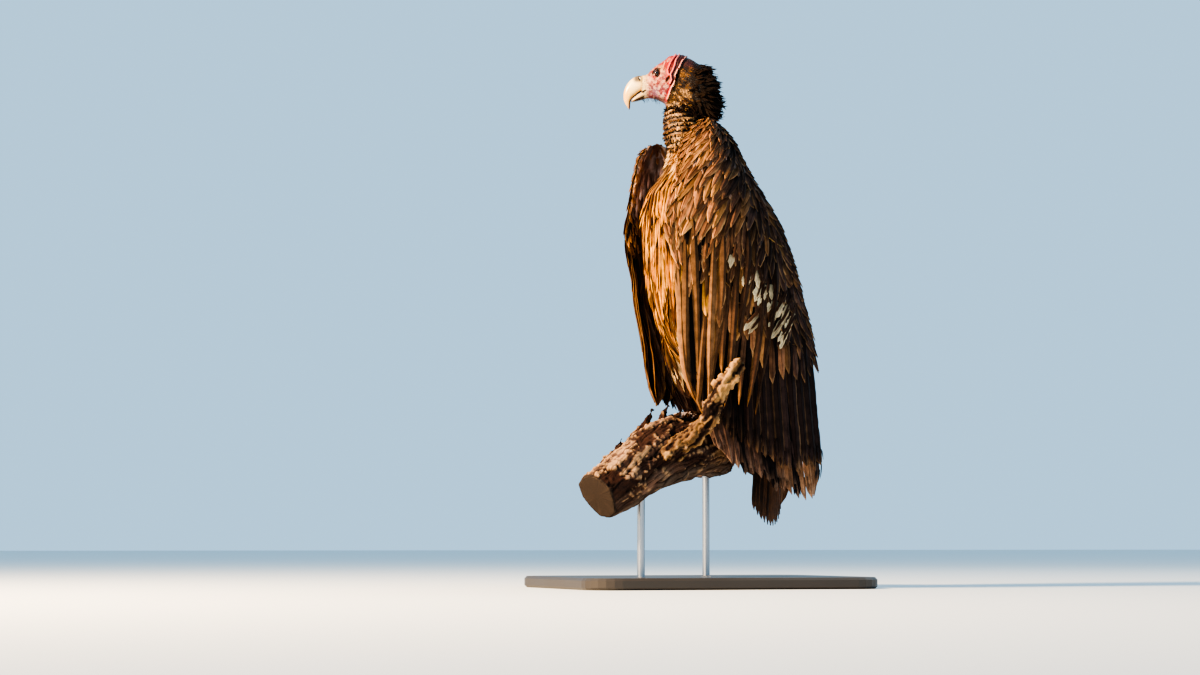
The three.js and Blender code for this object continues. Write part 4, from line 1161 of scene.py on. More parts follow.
def unwrap_body(points):
    """The trunk and legs unrolled round the body's upright axis."""
    x, y, z = points.T
    middle = curve((380, -50), (600, -22), (860, -66), (960, -90))(z)
    return np.stack([0.5 + np.arctan2(y, x - middle) / (2.06 * math.pi), 0.02 + 0.96 * (z - 300) / 720], -1)


def unwrap_wing(points, inner=0.0):
    """A wing's outer face on the left of its map, and its inner face on the right."""
    x, y, z = points.T
    across = (x + 200 + 0.8 * np.abs(y)) / 620
    return np.stack([0.02 + 0.46 * across + 0.5 * inner, 0.02 + 0.96 * (z - 380) / 620], -1)


def unwrap_head(points):
    """The head unrolled round its own length, and below it the neck round its upright axis."""
    forward, up, right = head_space(points)
    skull = np.stack([0.5 + np.arctan2(right, up) / (2.06 * math.pi), 0.55 + 0.42 * (forward + 90) / 180], -1)
    neck = np.stack([0.5 + np.arctan2(points[:, 1], points[:, 0] + 90) / (2.06 * math.pi),
                     0.02 + 0.48 * (points[:, 2] - 880) / 150], -1)
    return np.where((points[:, 2] > NECK_TOP - 2)[:, None], skull, neck).clip(0.005, 0.995)


def coat(name, tree, roots, headings, lengths, widths, low, high, centre, edge, uv, rng, rows=7,
         section=COVERT, cup=0.25, thick=0.5, outline=None, **more):
    """A piece of vanes laid over a surface."""
    spine, up = walk(tree, roots, headings, lengths, rows, low, high)
    half = widths[:, None] / 2 * (lance(rows) if outline is None else outline)
    return vanes(name, spine, up, half, section, cup, thick, centre, edge, uv, rng, **more)


class VULTURE_OT_head_down(bpy.types.Operator):
    """Down and bristles of head and neck"""
    bl_idname = "vulture.head_down"
    bl_label = "Head and Neck Down"

    def execute(self, context):
        sizes = context.scene.vulture_sizes
        rng = np.random.default_rng(11)
        skin = bpy.data.objects["skin"]
        tree = shape_tree(skin)
        points, _ = scatter(skin, HEAD_POINTS, rng)
        points = points[points[:, 2] > 890]
        label = regions(points)
        forward, up, _ = head_space(points)
        parts = []
        # Down behind the bare face: short and soft in front, clumps of long dark spikes on the nape.
        pick = np.flatnonzero((label == "down")
                              | ((label == "face") & (forward - bare_edge(up) < 1.5) & (up < 50)))
        nape = step(-18, -38, forward + 0.1 * up)
        pick = pick[spread(points[pick], mix(2.3, 3.9, nape[pick]))]
        p, f, u, w = points[pick], forward[pick], up[pick], nape[pick]
        count = len(pick)
        clump = np.stack([noise(p, 9, 71 + k) for k in range(3)], 1)
        lie = -FORWARD * 0.9 + np.array([0, 0, -0.65]) + 0.24 * rng.standard_normal((count, 3))
        lie = lie + 1.1 * clump * w[:, None]
        crown = step(16, 30, u) * step(-48, -36, -np.abs(f))
        length = mix(6.0, sizes.nape_spike / MM, w) * rng.uniform(0.75, 1.3, count) * mix(1, 0.45, crown)
        stand = mix(0.55, 1.1, step(-0.3, 0.5, clump[:, 0]))
        high = mix(1.6, stand * length, w) * mix(1, 0.4, crown) * rng.uniform(0.6, 1.2, count)
        tones = markings(p) * mix(1.0, 0.6, w)[:, None]
        width = mix(2.2, 6.4, w) * rng.uniform(0.8, 1.3, count)
        parts.append(coat("down", tree, p, lie, length, width, 0.1, high, tones, tones * 1.3,
                          unwrap_head(p), rng, rows=5, section=TUFT, cup=0.5, thick=0.4,
                          outline=lance(5, 0.25, 0.04, 0.7), root_dark=0.5))
        # Short down in rows on the folds of the neck, pale at the tips, with dark creases between.
        around = np.flatnonzero((label == "neck") | ((label == "down") & (points[:, 2] < 1012)))
        wave = neck_wave(points[around])
        pale = (wave > 0.5) | (points[around][:, 2] < 915)
        kept = pale | (rng.random(len(around)) < 0.3)
        around, pale = around[kept], pale[kept]
        pick = spread(points[around], 2.5)
        p, pale = points[around[pick]], pale[pick]
        count = len(p)
        rear = step(-92, -62, p[:, 0])
        low = ruff(p)
        # A dark band hangs over the top of the throat.
        slanted = p[:, 2] + 0.1 * p[:, 0]
        throat = step(985, 991, slanted + 4 * noise(p, 14, 25)) * step(1004, 998, slanted)
        lie = np.array([-0.1, 0, -1.0]) + 0.3 * rng.standard_normal((count, 3))
        length = mix(mix(4.4, 8, rear), 20, low) * mix(1, 2.6, throat) * rng.uniform(0.7, 1.3, count)
        high = mix(mix(4.2, 3.6, rear), 6.0, low) * rng.uniform(0.5, 1.4, count) * mix(1, 1.6, throat)
        tones = np.where(pale[:, None], markings(p) * 1.1, tone("#1c0f08"))
        tones = layered(tones, ("#1e1008", throat * 0.9))
        width = mix(3.0, 4.6, low) * rng.uniform(0.8, 1.3, count)
        parts.append(coat("down", tree, p, lie, length, width, 0.1, high, tones, tones * 1.15,
                          unwrap_head(p), rng, rows=5, section=TUFT, cup=0.4, thick=0.3, root_dark=0.3,
                          vary=0.24))
        # A few fine bristles over the cheeks, lores and chin.
        pick = np.flatnonzero((label == "face") & (np.hypot(forward - 48, up - 12) > 9) & (forward < 76))
        pick = pick[rng.permutation(len(pick))[:260]]
        chin = np.flatnonzero((label == "face") & (forward > 44) & (up < head_bottom(forward) + 5))
        chin = chin[rng.permutation(len(chin))[:60]]
        p = points[np.r_[pick, chin]]
        count = len(p)
        hang = np.r_[np.zeros(len(pick)), np.ones(len(chin))]
        lie = mix(-FORWARD * 0.9, -UP, hang[:, None]) + 0.35 * rng.standard_normal((count, 3))
        length = mix(3.2, 9.0, hang) * rng.uniform(0.6, 1.3, count)
        dark = np.tile(tone("#2a1712"), (count, 1))
        high = length * mix(0.3, 0.9, hang)
        parts.append(coat("down", tree, p, lie, length, np.full(count, 0.45), 0.05, high, dark, dark,
                          unwrap_head(p), rng, rows=4, section=TUFT, thick=0.2))
        keep(join("down_head_neck", parts), plumage("head down"), "down")
        return {"FINISHED"}


def across_view(points):
    """How far points lie to the right, seen along the camera's level direction."""
    return 0.946 * points[:, 0] - 0.326 * points[:, 1]


class VULTURE_OT_body_plumage(bpy.types.Operator):
    """Breast, belly, back and thigh feathers"""
    bl_idname = "vulture.body_plumage"
    bl_label = "Body Plumage"

    def execute(self, context):
        rng = np.random.default_rng(23)
        skin = bpy.data.objects["skin"]
        tree = shape_tree(skin)
        points, normals = scatter(skin, BODY_POINTS, rng)
        label = regions(points)
        _, y, z = points.T
        body = (label == "body") & (z < 950)
        shoulder = step(42, 60, np.abs(y)) * step(835, 868, z)
        front = body & (normals[:, 0] < 0.4) & (shoulder < 0.5)
        feather = context.scene.vulture_sizes.breast_feather / MM
        self.breast(tree, points[front], feather, rng)
        self.back(tree, points[body & ~front], rng)
        self.legs(tree, points[(label == "leg") & (z < LEG_TOP + 7)], rng)
        return {"FINISHED"}

    def breast(self, tree, points, feather, rng):
        p = points[spread(points * [1, 1, 0.36], 6.4)]
        count = len(p)
        _, y, z = p.T
        inwards = 0.16 * step(780, 520, z) * np.clip(y / 60 + 0.35, -1, 1)
        outwards = np.sign(y) * 0.42 * step(800, 905, z) - inwards
        back = 0.05 - 0.5 * step(840, 905, z) + 0.22 * step(680, 450, z)
        lie = np.stack([back, outwards, -np.ones(count)], 1)
        # Neighbours lean and lift together, in clumps.
        clump = noise(p * [1, 1, 0.2], 15, 81)
        lie[:, 1] += 0.2 * noise(p * [1, 1, 0.4], 26, 82)
        lie += 0.05 * rng.standard_normal((count, 3))
        length = feather * mix(1, 0.6, step(840, 915, z)) * rng.uniform(0.75, 1.25, count)
        width = mix(10.0, 7.5, step(800, 900, z)) * rng.uniform(0.8, 1.2, count)
        centre = markings(p)
        dark = rng.random(count) < 0.16 + 0.4 * step(0.0, 0.5, -clump) + 0.4 * step(670, 560, z)
        bright = centre * mix(0.62, 1.08, step(500, 690, z))[:, None] * [1.0, 1.02, 1.2]
        centre = np.where(dark[:, None], centre * 0.14, bright)
        rim = np.where(dark[:, None], centre * 1.8, mix(centre, tone("#eec070"), 0.4))
        rim = np.where((rng.random(count) < 0.4)[:, None], centre * 0.4, rim)
        # A tuft of pale feathers hangs between the thighs.
        tuft = (np.abs(across_view(p) + 111) < 10) & (np.abs(z - 528) < 40)
        centre = np.where(tuft[:, None], tone("#dfc197") * rng.uniform(0.6, 1.1, (count, 1)), centre)
        rim = np.where(tuft[:, None], centre * 1.1, rim)
        high = rng.uniform(1.5, 5.5, count) + 4.5 * step(-0.2, 0.6, clump)
        breast = coat("breast_feathers", tree, p, lie, length, width, 0.3, high, centre, rim,
                      unwrap_body(p), rng, rows=8, cup=0.6, ragged=0.22,
                      outline=lance(8, widest=0.3, tip=0.05, root=0.5),
                      side_lean=rng.normal(0, 0.4, count), root_dark=0.22)
        keep(breast, plumage("breast feathers", 0.7), "breast_feather")

    def back(self, tree, points, rng):
        small = mix(1.0, 0.62, step(840, 880, points[:, 2]))
        pick = spread(points * [1, 1, 0.55], 8.5 * small)
        p, small = points[pick], small[pick]
        count = len(p)
        x, y, z = p.T
        outwards = 0.5 * np.clip(y / 30, -1, 1) * step(840, 880, z)
        lie = np.stack([0.1 - 0.3 * step(850, 900, z) * step(0, -60, x), outwards, -np.ones(count)], 1)
        lie = lie + 0.1 * rng.standard_normal((count, 3))
        centre = markings(p)
        back = coat("back_feathers", tree, p, lie, 50 * small * rng.uniform(0.8, 1.25, count),
                    15 * small * rng.uniform(0.8, 1.2, count), 0.3, rng.uniform(1.5, 4.0, count), centre,
                    mix(centre, tone("#b88a52"), 0.4), unwrap_body(p), rng, cup=0.35)
        keep(back, plumage("contour feathers"), "breast_feather")

    def legs(self, tree, points, rng):
        p = points[spread(points * [1, 1, 0.6], 4.6)]
        count = len(p)
        lie = np.array([0.12, 0, -1.0]) + 0.16 * rng.standard_normal((count, 3))
        length = mix(60, 42, step(470, 400, p[:, 2])) * rng.uniform(0.75, 1.3, count)
        centre = markings(p)
        # The pale tuft's lower end.
        tuft = (np.abs(across_view(p) + 113) < 9) & (p[:, 2] > 474)
        centre = np.where(tuft[:, None], tone("#dcb888") * rng.uniform(0.4, 0.9, (count, 1)), centre)
        legs = coat("leg_feathers", tree, p, lie, length, 6.5 * rng.uniform(0.75, 1.25, count), 0.2,
                    rng.uniform(1.0, 4.5, count), centre, centre * 1.7, unwrap_body(p), rng, rows=6, cup=0.5)
        keep(legs, plumage("contour feathers"), "down")


# Worn white feathers on the near wing, in side view: root x and z, tip x and z, and width.
WHITE_FEATHERS = [
    (-10, 652, -12, 620, 17), (8, 650, 14, 612, 15), (20, 628, 2, 586, 17), (34, 622, 26, 590, 13),
    (48, 624, 44, 592, 14), (58, 600, 34, 566, 16), (66, 588, 50, 552, 15), (84, 596, 54, 556, 18),
    (100, 588, 66, 542, 18), (112, 570, 78, 524, 17), (88, 562, 44, 512, 18), (70, 576, 36, 536, 14),
    (104, 550, 60, 506, 16), (92, 534, 66, 492, 13), (17, 562, -20, 526, 17), (18, 548, -10, 520, 12),
    (-46, 686, -54, 652, 13), (26, 604, 10, 578, 11), (-20, 640, -24, 616, 9)]

# How far coverts lean forward at each height, in degrees, and how far the visible ones reach past the
# coverts' end.
covert_lean = curve((480, 0), (600, 3), (670, 12), (735, 20), (800, 32), (900, 37), (965, 30))
visible_end = curve((0, -62), (0.3, -50), (0.5, -30), (1, -14))

# Long loose coverts, in side view: root x and z, tip x and z, and width.
DRAPES = [
    (-168, 730, -138, 392, 22), (-149, 748, -126, 374, 20), (-129, 760, -112, 352, 24),
    (-106, 752, -102, 346, 20), (-86, 765, -92, 360, 24), (-66, 750, -84, 380, 20),
    (-46, 778, -62, 440, 27), (-28, 750, -58, 372, 20), (-10, 762, -44, 400, 24), (12, 735, -28, 376, 21),
    (34, 722, -6, 372, 21), (60, 690, 20, 356, 20)]
# Long feathers along the far wing's front edge, in the same form.
EDGE_FEATHERS = [
    (-172, 868, -172, 640, 15), (-172, 800, -168, 560, 15), (-172, 748, -160, 470, 15),
    (-160, 830, -160, 600, 15), (-156, 770, -150, 500, 15), (-150, 720, -144, 440, 15),
    (-158, 905, -166, 720, 13)]


def wing_lie(x, z, side):
    """How far a covert leans forward from straight down, in radians."""
    share = share_of(x, z, side)
    front_edge = np.degrees(np.arctan((front_of(z + 6, side) - front_of(z - 6, side)) / 12))
    rear_edge = np.degrees(np.arctan((wing_rear(z + 6) - wing_rear(z - 6)) / 12))
    lean = mix(covert_lean(z), front_edge, step(0.16, 0.0, share))
    lean = mix(lean, rear_edge, step(0.6, 0.97, share))
    return np.radians(lean)


def wing_run(x, z, side, lengths, rows, low, high, lean_off=0.0):
    """Spines laid over a wing's outer face. low and high are the depths under it of root and tip."""
    count = len(x)
    spine, up = np.empty((count, rows, 3)), np.empty((count, rows, 3))
    stride = np.asarray(lengths) / (rows - 1)
    for r in range(rows):
        depth = mix(low, high, (r / (rows - 1)) ** 1.1) * np.ones(count)
        spine[:, r], up[:, r] = wing_place(x, z, depth, side)
        lean = wing_lie(x, z, side) + lean_off
        dx, dz = -np.sin(lean), -np.cos(lean)
        rise = (wing_out(x + 3 * dx, z + 3 * dz, side) - wing_out(x - 3 * dx, z - 3 * dz, side)) / 6
        scale = stride / np.sqrt(1 + rise ** 2)
        x, z = x + dx * scale, z + dz * scale
        x = np.clip(x, front_of(z, side) + 1.0, wing_rear(z) - 0.3)
    return spine, up


class VULTURE_OT_wing_coverts(bpy.types.Operator):
    """Overlapping covert feathers on both wings"""
    bl_idname = "vulture.wing_coverts"
    bl_label = "Wing Coverts"

    def execute(self, context):
        sizes = context.scene.vulture_sizes
        skin = bpy.data.objects["skin"]
        tree = shape_tree(skin)
        for side, word in SIDES:
            rng = np.random.default_rng(37)
            outer = self.outer(side, rng, sizes)
            points = places(outer)
            points[:, 2] += dome(points)
            move_to(outer, points)
            parts = [outer, self.drapes(side, rng), self.inner(side, rng, skin, tree)]
            if side == LEFT:
                parts.append(self.white(side, rng))
            keep(join(f"wing_{word}_covert_feathers", parts), plumage("contour feathers"), "wing_feather")
        return {"FINISHED"}

    def outer(self, side, rng, sizes):
        """The coverts that show, laid over the wing's outer face."""
        z = rng.uniform(440, WING_TOP[side] - 1, BODY_POINTS)
        x = front_of(z, side) + rng.random(BODY_POINTS) * 345
        z, x = (v[x < wing_rear(z)] for v in (z, x))
        share = share_of(x, z, side)
        slope = wing_slope(x, z, side)
        over = z - covert_end(share) - visible_end(share) + 9 * noise(np.stack([x, z, z * 0], 1), 30, 91)
        # Where the face turns away, more points are needed for the same area. 2.7 is the most that one needs.
        chosen = (rng.random(len(x)) < np.sqrt(1 + slope ** 2) / 2.7) & (over > 22)
        x, z, share, over = (v[chosen] for v in (x, z, share, over))
        top = WING_TOP[side]
        size = mix(0.52, 1.0, step(0, 0.2, share)) * mix(0.52, 1, step(top, 830, z))
        size = size * mix(1.0, 0.78, step(0.6, 0.95, share)) * mix(1.35, 1.0, step(20, 120, over))
        points, _ = wing_place(x, z, 0, side)
        # Gaps are closer along the feathers, which lean 20 degrees here, than across them.
        turn = math.radians(20)
        across, down = x * math.cos(turn) - z * math.sin(turn), x * math.sin(turn) + z * math.cos(turn)
        flat = np.stack([across, points[:, 1], 0.46 * down], 1)
        pick = spread(flat, 12.8 * size)
        x, z, share, size, over, points = (v[pick] for v in (x, z, share, size, over, points))
        count = len(x)
        wide = sizes.covert_width / MM * size * rng.uniform(0.85, 1.2, count)
        lengths = (sizes.covert / MM * size * rng.uniform(0.85, 1.15, count)
                   * mix(1, 0.75, step(0.75, 0.95, share)))
        # Lower feathers lie under the upper ones: each is laid at its root's depth, its tip a little proud.
        tips = rng.uniform(-3.4, 0.6, count) * mix(1.0, 0.55, step(640, 800, z))
        spine, up = wing_run(x, z, side, lengths, 9, 4.4, tips, rng.normal(0, 0.1, count))
        centre = markings(points)
        warm = 1 - step(0.35, 0.7, share)
        pale = rng.random(count) < mix(0.1, 0.3, warm)
        centre = np.where(pale[:, None], mix(centre, tone("#bd8448"), mix(0.3, 0.6, warm)[:, None]), centre)
        dull = rng.random(count) < 0.25
        centre = np.where(dull[:, None], centre * 0.5, centre)
        rim = mix(centre, tone("#d4a46e"),
                  (mix(0.24, 0.6, warm) * mix(1.0, 0.62, step(760, 860, z)))[:, None])
        centre = centre * mix(mix(1.1, 0.8, step(620, 760, z)), 0.72, step(780, 860, z))[:, None]
        flecked = rng.random(count) < 0.14
        rim = np.where(flecked[:, None], mix(rim, tone("#c49468"), 0.6), rim)
        half = wide[:, None] / 2 * lance(9, 0.42, root=0.5, point=1.5)
        return vanes("coverts", spine, up, half, QUILL, 0.46, 0.6, centre, rim, unwrap_wing(points), rng,
                     side_lean=side * rng.normal(0.12, 0.16, count), ragged=0.16, root_dark=0.22, vary=0.24)

    def drapes(self, side, rng):
        """Long loose coverts that hang in folds over the wing's front, and along the far wing's edge."""
        x0, z0, x1, z1, wide = np.array(DRAPES, float).T
        # Painted shade: the far wing's long coverts and edge feathers are painted far darker and bluer than
        # the near wing's.
        far_wing_shade, shape = np.ones(3), (0.2, 0.62, 1.5)
        if side == RIGHT:
            z1, wide = np.maximum(z1, 385), 1.5 * wide
            x0, z0, x1, z1, wide = np.hstack([[x0, z0, x1, z1, wide], np.array(EDGE_FEATHERS, float).T])
            far_wing_shade, shape = np.array([0.3, 0.33, 0.5]), (0.2, 0.86, 3.0)
        count, rows = len(x0), 22
        # Each one sways along its length, and lies a little deeper or higher than the next.
        t, turn = np.linspace(0, 1, rows)[None], np.arange(count)[:, None]
        x = mix(x0[:, None], x1[:, None], t ** 1.15) + 6.0 * np.sin(4.2 * t + 2.4 * turn) * (0.35 + 0.65 * t)
        z = mix(z0[:, None], z1[:, None], t)
        x = np.maximum(x, front_of(z, side) + 0.36 * wide[:, None])
        depth = mix(5.0, -2.5, step(0, 0.25, t)) + 3.0 * np.sin(5 * t + 2 * turn)
        spine, up = wing_place(x, z, depth, side)
        share = share_of(x[:, 6], z[:, 6], side)
        centre = layered("#966c48", ("#5e4230", step(0.12, 0.5, share)))
        centre = centre * np.random.default_rng(67).uniform(0.55, 1.05, (count, 1)) * far_wing_shade
        centre = centre * mix(0.6, 1.0, step(0.0, 0.07, share))[:, None]
        return vanes("coverts", spine, up, wide[:, None] / 2 * blade(rows, *shape), QUILL, 0.95, 0.7, centre,
                     mix(centre, tone("#a8753e"), 0.4), unwrap_wing(spine[:, 3]), rng, ragged=0.2,
                     side_lean=side * rng.normal(0.1, 0.14, count), root_dark=0.3, vary=0.2)

    def inner(self, side, rng, skin, tree):
        """Small coverts round the leading and rear edges and dark ones inside the wing."""
        points, _ = scatter(skin, BODY_POINTS, rng)
        depth, share, _ = wing_measure(points)
        top = (side == RIGHT) & (points[:, 2] > WING_TOP[side] - 26)
        chosen = (regions(points) == "wing") & (np.sign(points[:, 1]) == side)
        chosen &= (depth > 6.0) | (share < 0.02) | (share > 0.975) | top
        points, depth, share = (v[chosen] for v in (points, depth, share))
        size = mix(0.5, 1.0, step(0.02, 0.25, share)) * mix(0.7, 1, step(940, 860, points[:, 2]))
        pick = spread(points * [1, 1, 0.5], 9.0 * size)
        p, d, s, size = points[pick], depth[pick], share[pick], size[pick]
        count = len(p)
        high = step(WING_TOP[side] - 30, WING_TOP[side] - 12, p[:, 2])
        outwards = side * mix(mix(0.4, 0.0, step(3, 7, d)), -0.6, high)
        lie = np.stack([mix(0.3, 0.0, step(0, 0.1, s)), outwards, -np.ones(count)], 1)
        lie += 0.08 * rng.standard_normal((count, 3))
        centre = wing_tone(p, step(6, 9, d))
        spotted = step(0.22, 0.05, s) * (rng.random(count) < 0.5)
        centre = layered(centre, ("#a8713a", 0.8 * spotted))
        return coat("coverts", tree, p, lie, 44 * size * rng.uniform(0.85, 1.2, count),
                    16 * size * rng.uniform(0.85, 1.15, count), 0.3, rng.uniform(1.0, 3.4, count), centre,
                    mix(centre, tone("#c79a64"), 0.4), unwrap_wing(p, 1.0), rng, cup=0.4, root_dark=0.3)

    def white(self, side, rng):
        """Worn white feathers and the dark slips between them."""
        x0, z0, x1, z1, width = np.array(WHITE_FEATHERS, float).T
        count, rows = len(x0), 9
        t = np.linspace(0, 1, rows)[None]
        x, z = mix(x0[:, None], x1[:, None], t), mix(z0[:, None], z1[:, None], t)
        depth = mix(1.0, -3.6, t ** 0.7) * np.ones_like(x)
        spine, up = wing_place(x, z, depth, side)
        pale = tone("#f4d8ac") * rng.uniform(0.7, 1.1, (count, 1))
        half = width[:, None] * 0.62 * lance(rows, 0.6, root=0.55, point=1.8)
        white = vanes("coverts", spine, up, half, QUILL, 0.3, 0.6, pale * 0.85, pale * 1.1,
                      unwrap_wing(spine[:, 0]), rng, ragged=0.5, root_dark=0.55)
        beside, above = rng.uniform(4, 8, (count, 1)), rng.uniform(6, 22, (count, 1))
        spine, up = wing_place(x + beside, z + above, depth - 2.0, side)
        brown = np.tile(tone("#4a3020"), (count, 1))
        half = rng.uniform(3.0, 5.5, (count, 1)) * lance(rows, 0.5, root=0.6)
        between = vanes("coverts", spine, up, half, QUILL, 0.3, 0.6, brown, brown * 1.6,
                        unwrap_wing(spine[:, 0]), rng, ragged=0.4, root_dark=0.6)
        return join("white_feathers", [white, between])


def blade(rows, neck=0.16, taper=0.84, power=2.6):
    """Half width along a flight feather, as part of its widest: narrow root, even middle and blunt tip."""
    t = np.linspace(0, 1, rows)
    tip = np.clip(1 - ((t - taper) / (1 - taper)).clip(0, 1) ** power, 0, 1) ** 0.6
    return np.maximum((0.55 + 0.45 * step(0, neck, t)) * tip, 0.05)


def frays(name, spine, up, half, tones, uv, rng, each):
    """Slender strands at the worn ends of long feathers."""
    count, rows, _ = spine.shape
    strand = 6
    lines, ups, halves, colours, uvs = [], [], [], [], []
    across = unit(np.cross(unit(np.gradient(spine, axis=1)), up))
    t = np.linspace(0, 1, strand)
    for i in range(count):
        for j in range(each):
            start = int(rows * rng.uniform(0.8, 0.93))
            off = (j + 0.5) / each * 2 - 1
            line = spine[i, start:] + across[i, start:] * (half[i, min(start, rows - 3)] * off * 0.85)
            line = np.stack([np.interp(t, np.linspace(0, 1, len(line)), line[:, k]) for k in range(3)], 1)
            reach = rng.uniform(0.75, 1.0) * (1 - 0.35 * off * off)
            line = line[0] + (line - line[0]) * reach + across[i, -1] * t[:, None] * rng.normal(0, 2.0)
            lines.append(line)
            ups.append(np.tile(up[i, -1], (strand, 1)))
            halves.append(half[i].max() * rng.uniform(0.1, 0.22) * lance(strand, 0.35, 0.1, 0.6))
            colours.append(tones[i] * rng.uniform(0.8, 1.5))
            uvs.append(uv[i] + [0.004 * off, 0.01])
    lines, ups, halves, colours, uvs = (np.array(v) for v in (lines, ups, halves, colours, uvs))
    return vanes(name, lines, ups, halves, TUFT, 0.3, 0.5, colours, colours * 1.25, uvs, rng)


class VULTURE_OT_flight_feathers(bpy.types.Operator):
    """Long secondaries, primaries and tail feathers"""
    bl_idname = "vulture.flight_feathers"
    bl_label = "Flight Feathers"
    # Roots and tips in side view across each fan, front to rear, and how deep it lies under the coverts.
    sets = {
        "secondary": {
            "count": 20, "depth": 2.6, "cup": 0.6, "thick": 0.9, "overlap": 1.15, "uneven": 14,
            "root_x": curve((0, -150), (0.25, -92), (0.5, -22), (0.75, 66), (1, 176)), "root_z": None,
            "tip_x": curve((0, -118), (0.25, -78), (0.5, -2), (0.75, 92), (1, 194)),
            "tip_z": {
                LEFT: curve((0, 402), (0.2, 350), (0.4, 305), (0.6, 265), (0.8, 236), (1, 258)),
                RIGHT: curve((0, 408), (0.2, 386), (0.4, 366), (0.62, 350), (0.72, 345), (0.8, 290),
                             (1, 262))}},
        "primary": {
            "count": 17, "depth": 9.0, "cup": 0.7, "thick": 1.0, "overlap": 1.2, "uneven": 18,
            "root_x": curve((0, -150), (0.7, 80), (1, 180)), "root_z": curve((0, 600), (1, 560)),
            "tip_x": curve((0, -62), (0.15, -25), (0.3, 15), (0.45, 60), (0.6, 105), (0.72, 140), (0.82, 170),
                           (0.92, 190), (1, 203)),
            "tip_z": {
                LEFT: curve((0, 285), (0.15, 240), (0.3, 216), (0.45, 197), (0.6, 180), (0.72, 172),
                            (0.82, 178), (0.92, 215), (1, 300)),
                RIGHT: curve((0, 372), (0.2, 350), (0.45, 342), (0.54, 342), (0.6, 246), (0.75, 186),
                             (0.88, 184), (1, 300))}},
    }

    def execute(self, context):
        for side, word in SIDES:
            rng = np.random.default_rng(53)
            parts = []
            for kind in ("secondary", "primary"):
                parts += self.fan(kind, side, rng)
            flight = join(f"wing_{word}_flight_feathers", parts)
            keep(flight, plumage("flight feathers", 0.58), "flight_feather", f"wing_{word}_secondaries",
                 f"wing_{word}_primaries")
        rng = np.random.default_rng(59)
        keep(join("tail_feathers", self.tail(rng)), plumage("flight feathers", 0.58), "flight_feather",
             "tail")
        return {"FINISHED"}

    def fan(self, kind, side, rng):
        """The long feathers of one kind on one wing, with their worn ends."""
        fan = self.sets[kind]
        count, rows = fan["count"], 26
        t = np.linspace(0, 1, rows)[None]
        uneven = np.random.default_rng(61).uniform(0, fan["uneven"], count) * (side == LEFT)

        def lines(c):
            root_x = fan["root_x"](c)
            if fan["root_z"] is None:
                root_z = covert_end(np.clip(share_of(root_x, 620.0, side), 0, 1)) + 30
            else:
                root_z = fan["root_z"](c)
            x = mix(root_x[:, None], fan["tip_x"](c)[:, None], t ** 1.3)
            z = mix(root_z[:, None], fan["tip_z"][side](c)[:, None] + uneven[:, None], t)
            return np.clip(x, front_of(z, side) + 6, wing_rear(z) - 5), z

        c = (np.arange(count) + 0.5) / count
        x, z = lines(c)
        low, high = (wing_place(*lines(c + off / count), 0, side)[0] for off in (-0.5, 0.5))
        gap = np.linalg.norm(high - low, axis=2)
        depth = fan["depth"] + rng.uniform(-2.0, 1.6, (count, 1)) * np.linspace(0.3, 1, rows)[None]
        spine, up = wing_place(x, z, depth, side)
        outline = blade(rows, taper=0.84 if side == LEFT else 0.94)
        half = np.maximum(gap / 2 * fan["overlap"], 5.0) * outline[None]
        share = share_of(x[:, 8], z[:, 8], side)
        brown = rng.random(count) < 0.35
        if kind == "secondary":
            back = step(0.35, 0.6, share)
            centre = layered("#160e0e", ("#30221f", back)) * np.where(brown, 1.9, 1.0)[:, None]
            rim = mix(centre, tone("#b88e66"), mix(0.1, 0.4, back)[:, None])
        else:
            brown |= (c > 0.5) & (rng.random(count) < 0.7)
            brown &= c < 0.86
            warm = layered("#503c34", ("#8a6448", step(0.45, 0.7, c)))
            centre = np.where(brown[:, None], warm, tone("#171215"))
            rim = mix(centre, tone("#bc9880"), np.where(brown, 0.5, 0.35)[:, None])
        uv = np.stack([(0.1 if kind == "secondary" else 0.6) + 0.36 * c, np.full(count, 0.5)], 1)
        lean = side * rng.normal(0.1, 0.12, count)
        long = vanes("flight", spine, up, half, QUILL, fan["cup"], fan["thick"], centre, rim, uv, rng,
                     ragged=0.2, side_lean=lean, root_dark=0.5)
        return [long, frays("flight", spine, up, half, centre * 1.15, uv, rng, each=5)]

    def tail(self, rng):
        """Twelve tail feathers, arched across, the outer ones shorter and lying under the inner ones."""
        count, rows = 12, 30
        c = (np.arange(count) + 0.5) / count
        across = 2 * c - 1
        reach = 1 - 0.11 * across ** 2
        t = np.linspace(0, 1, rows)[None] * reach[:, None]
        wide = mix(38, 82, t ** 0.8)
        arch = 16 * across[:, None] ** 2
        depth = 0.6 + 0.34 * np.abs(np.arange(count) - 5.5)[:, None]
        x = mix(116, 105, t) - arch * mix(1, 0.7, t) - depth
        spine = np.stack([x, across[:, None] * wide, mix(498, 130, t)], -1)
        up = unit(np.stack([np.ones_like(x), across[:, None] * np.full_like(x, 0.35), np.zeros_like(x)], -1))
        half = wide / count * 1.5 * blade(rows, taper=0.9)[None]
        centre = np.where((rng.random(count) < 0.4)[:, None], tone("#50341f"), tone("#231610"))
        uv = np.stack([0.1 + 0.8 * c, np.full(count, 0.5)], 1)
        rim = mix(centre, tone("#7a5538"), 0.4)
        long = vanes("tail", spine, up, half, QUILL, 0.16, 0.8, centre, rim, uv, rng, ragged=0.22,
                     side_lean=rng.normal(0, 0.05, count), root_dark=0.7)
        return [long, frays("tail", spine, up, half, centre * 1.6, uv, rng, each=9)]


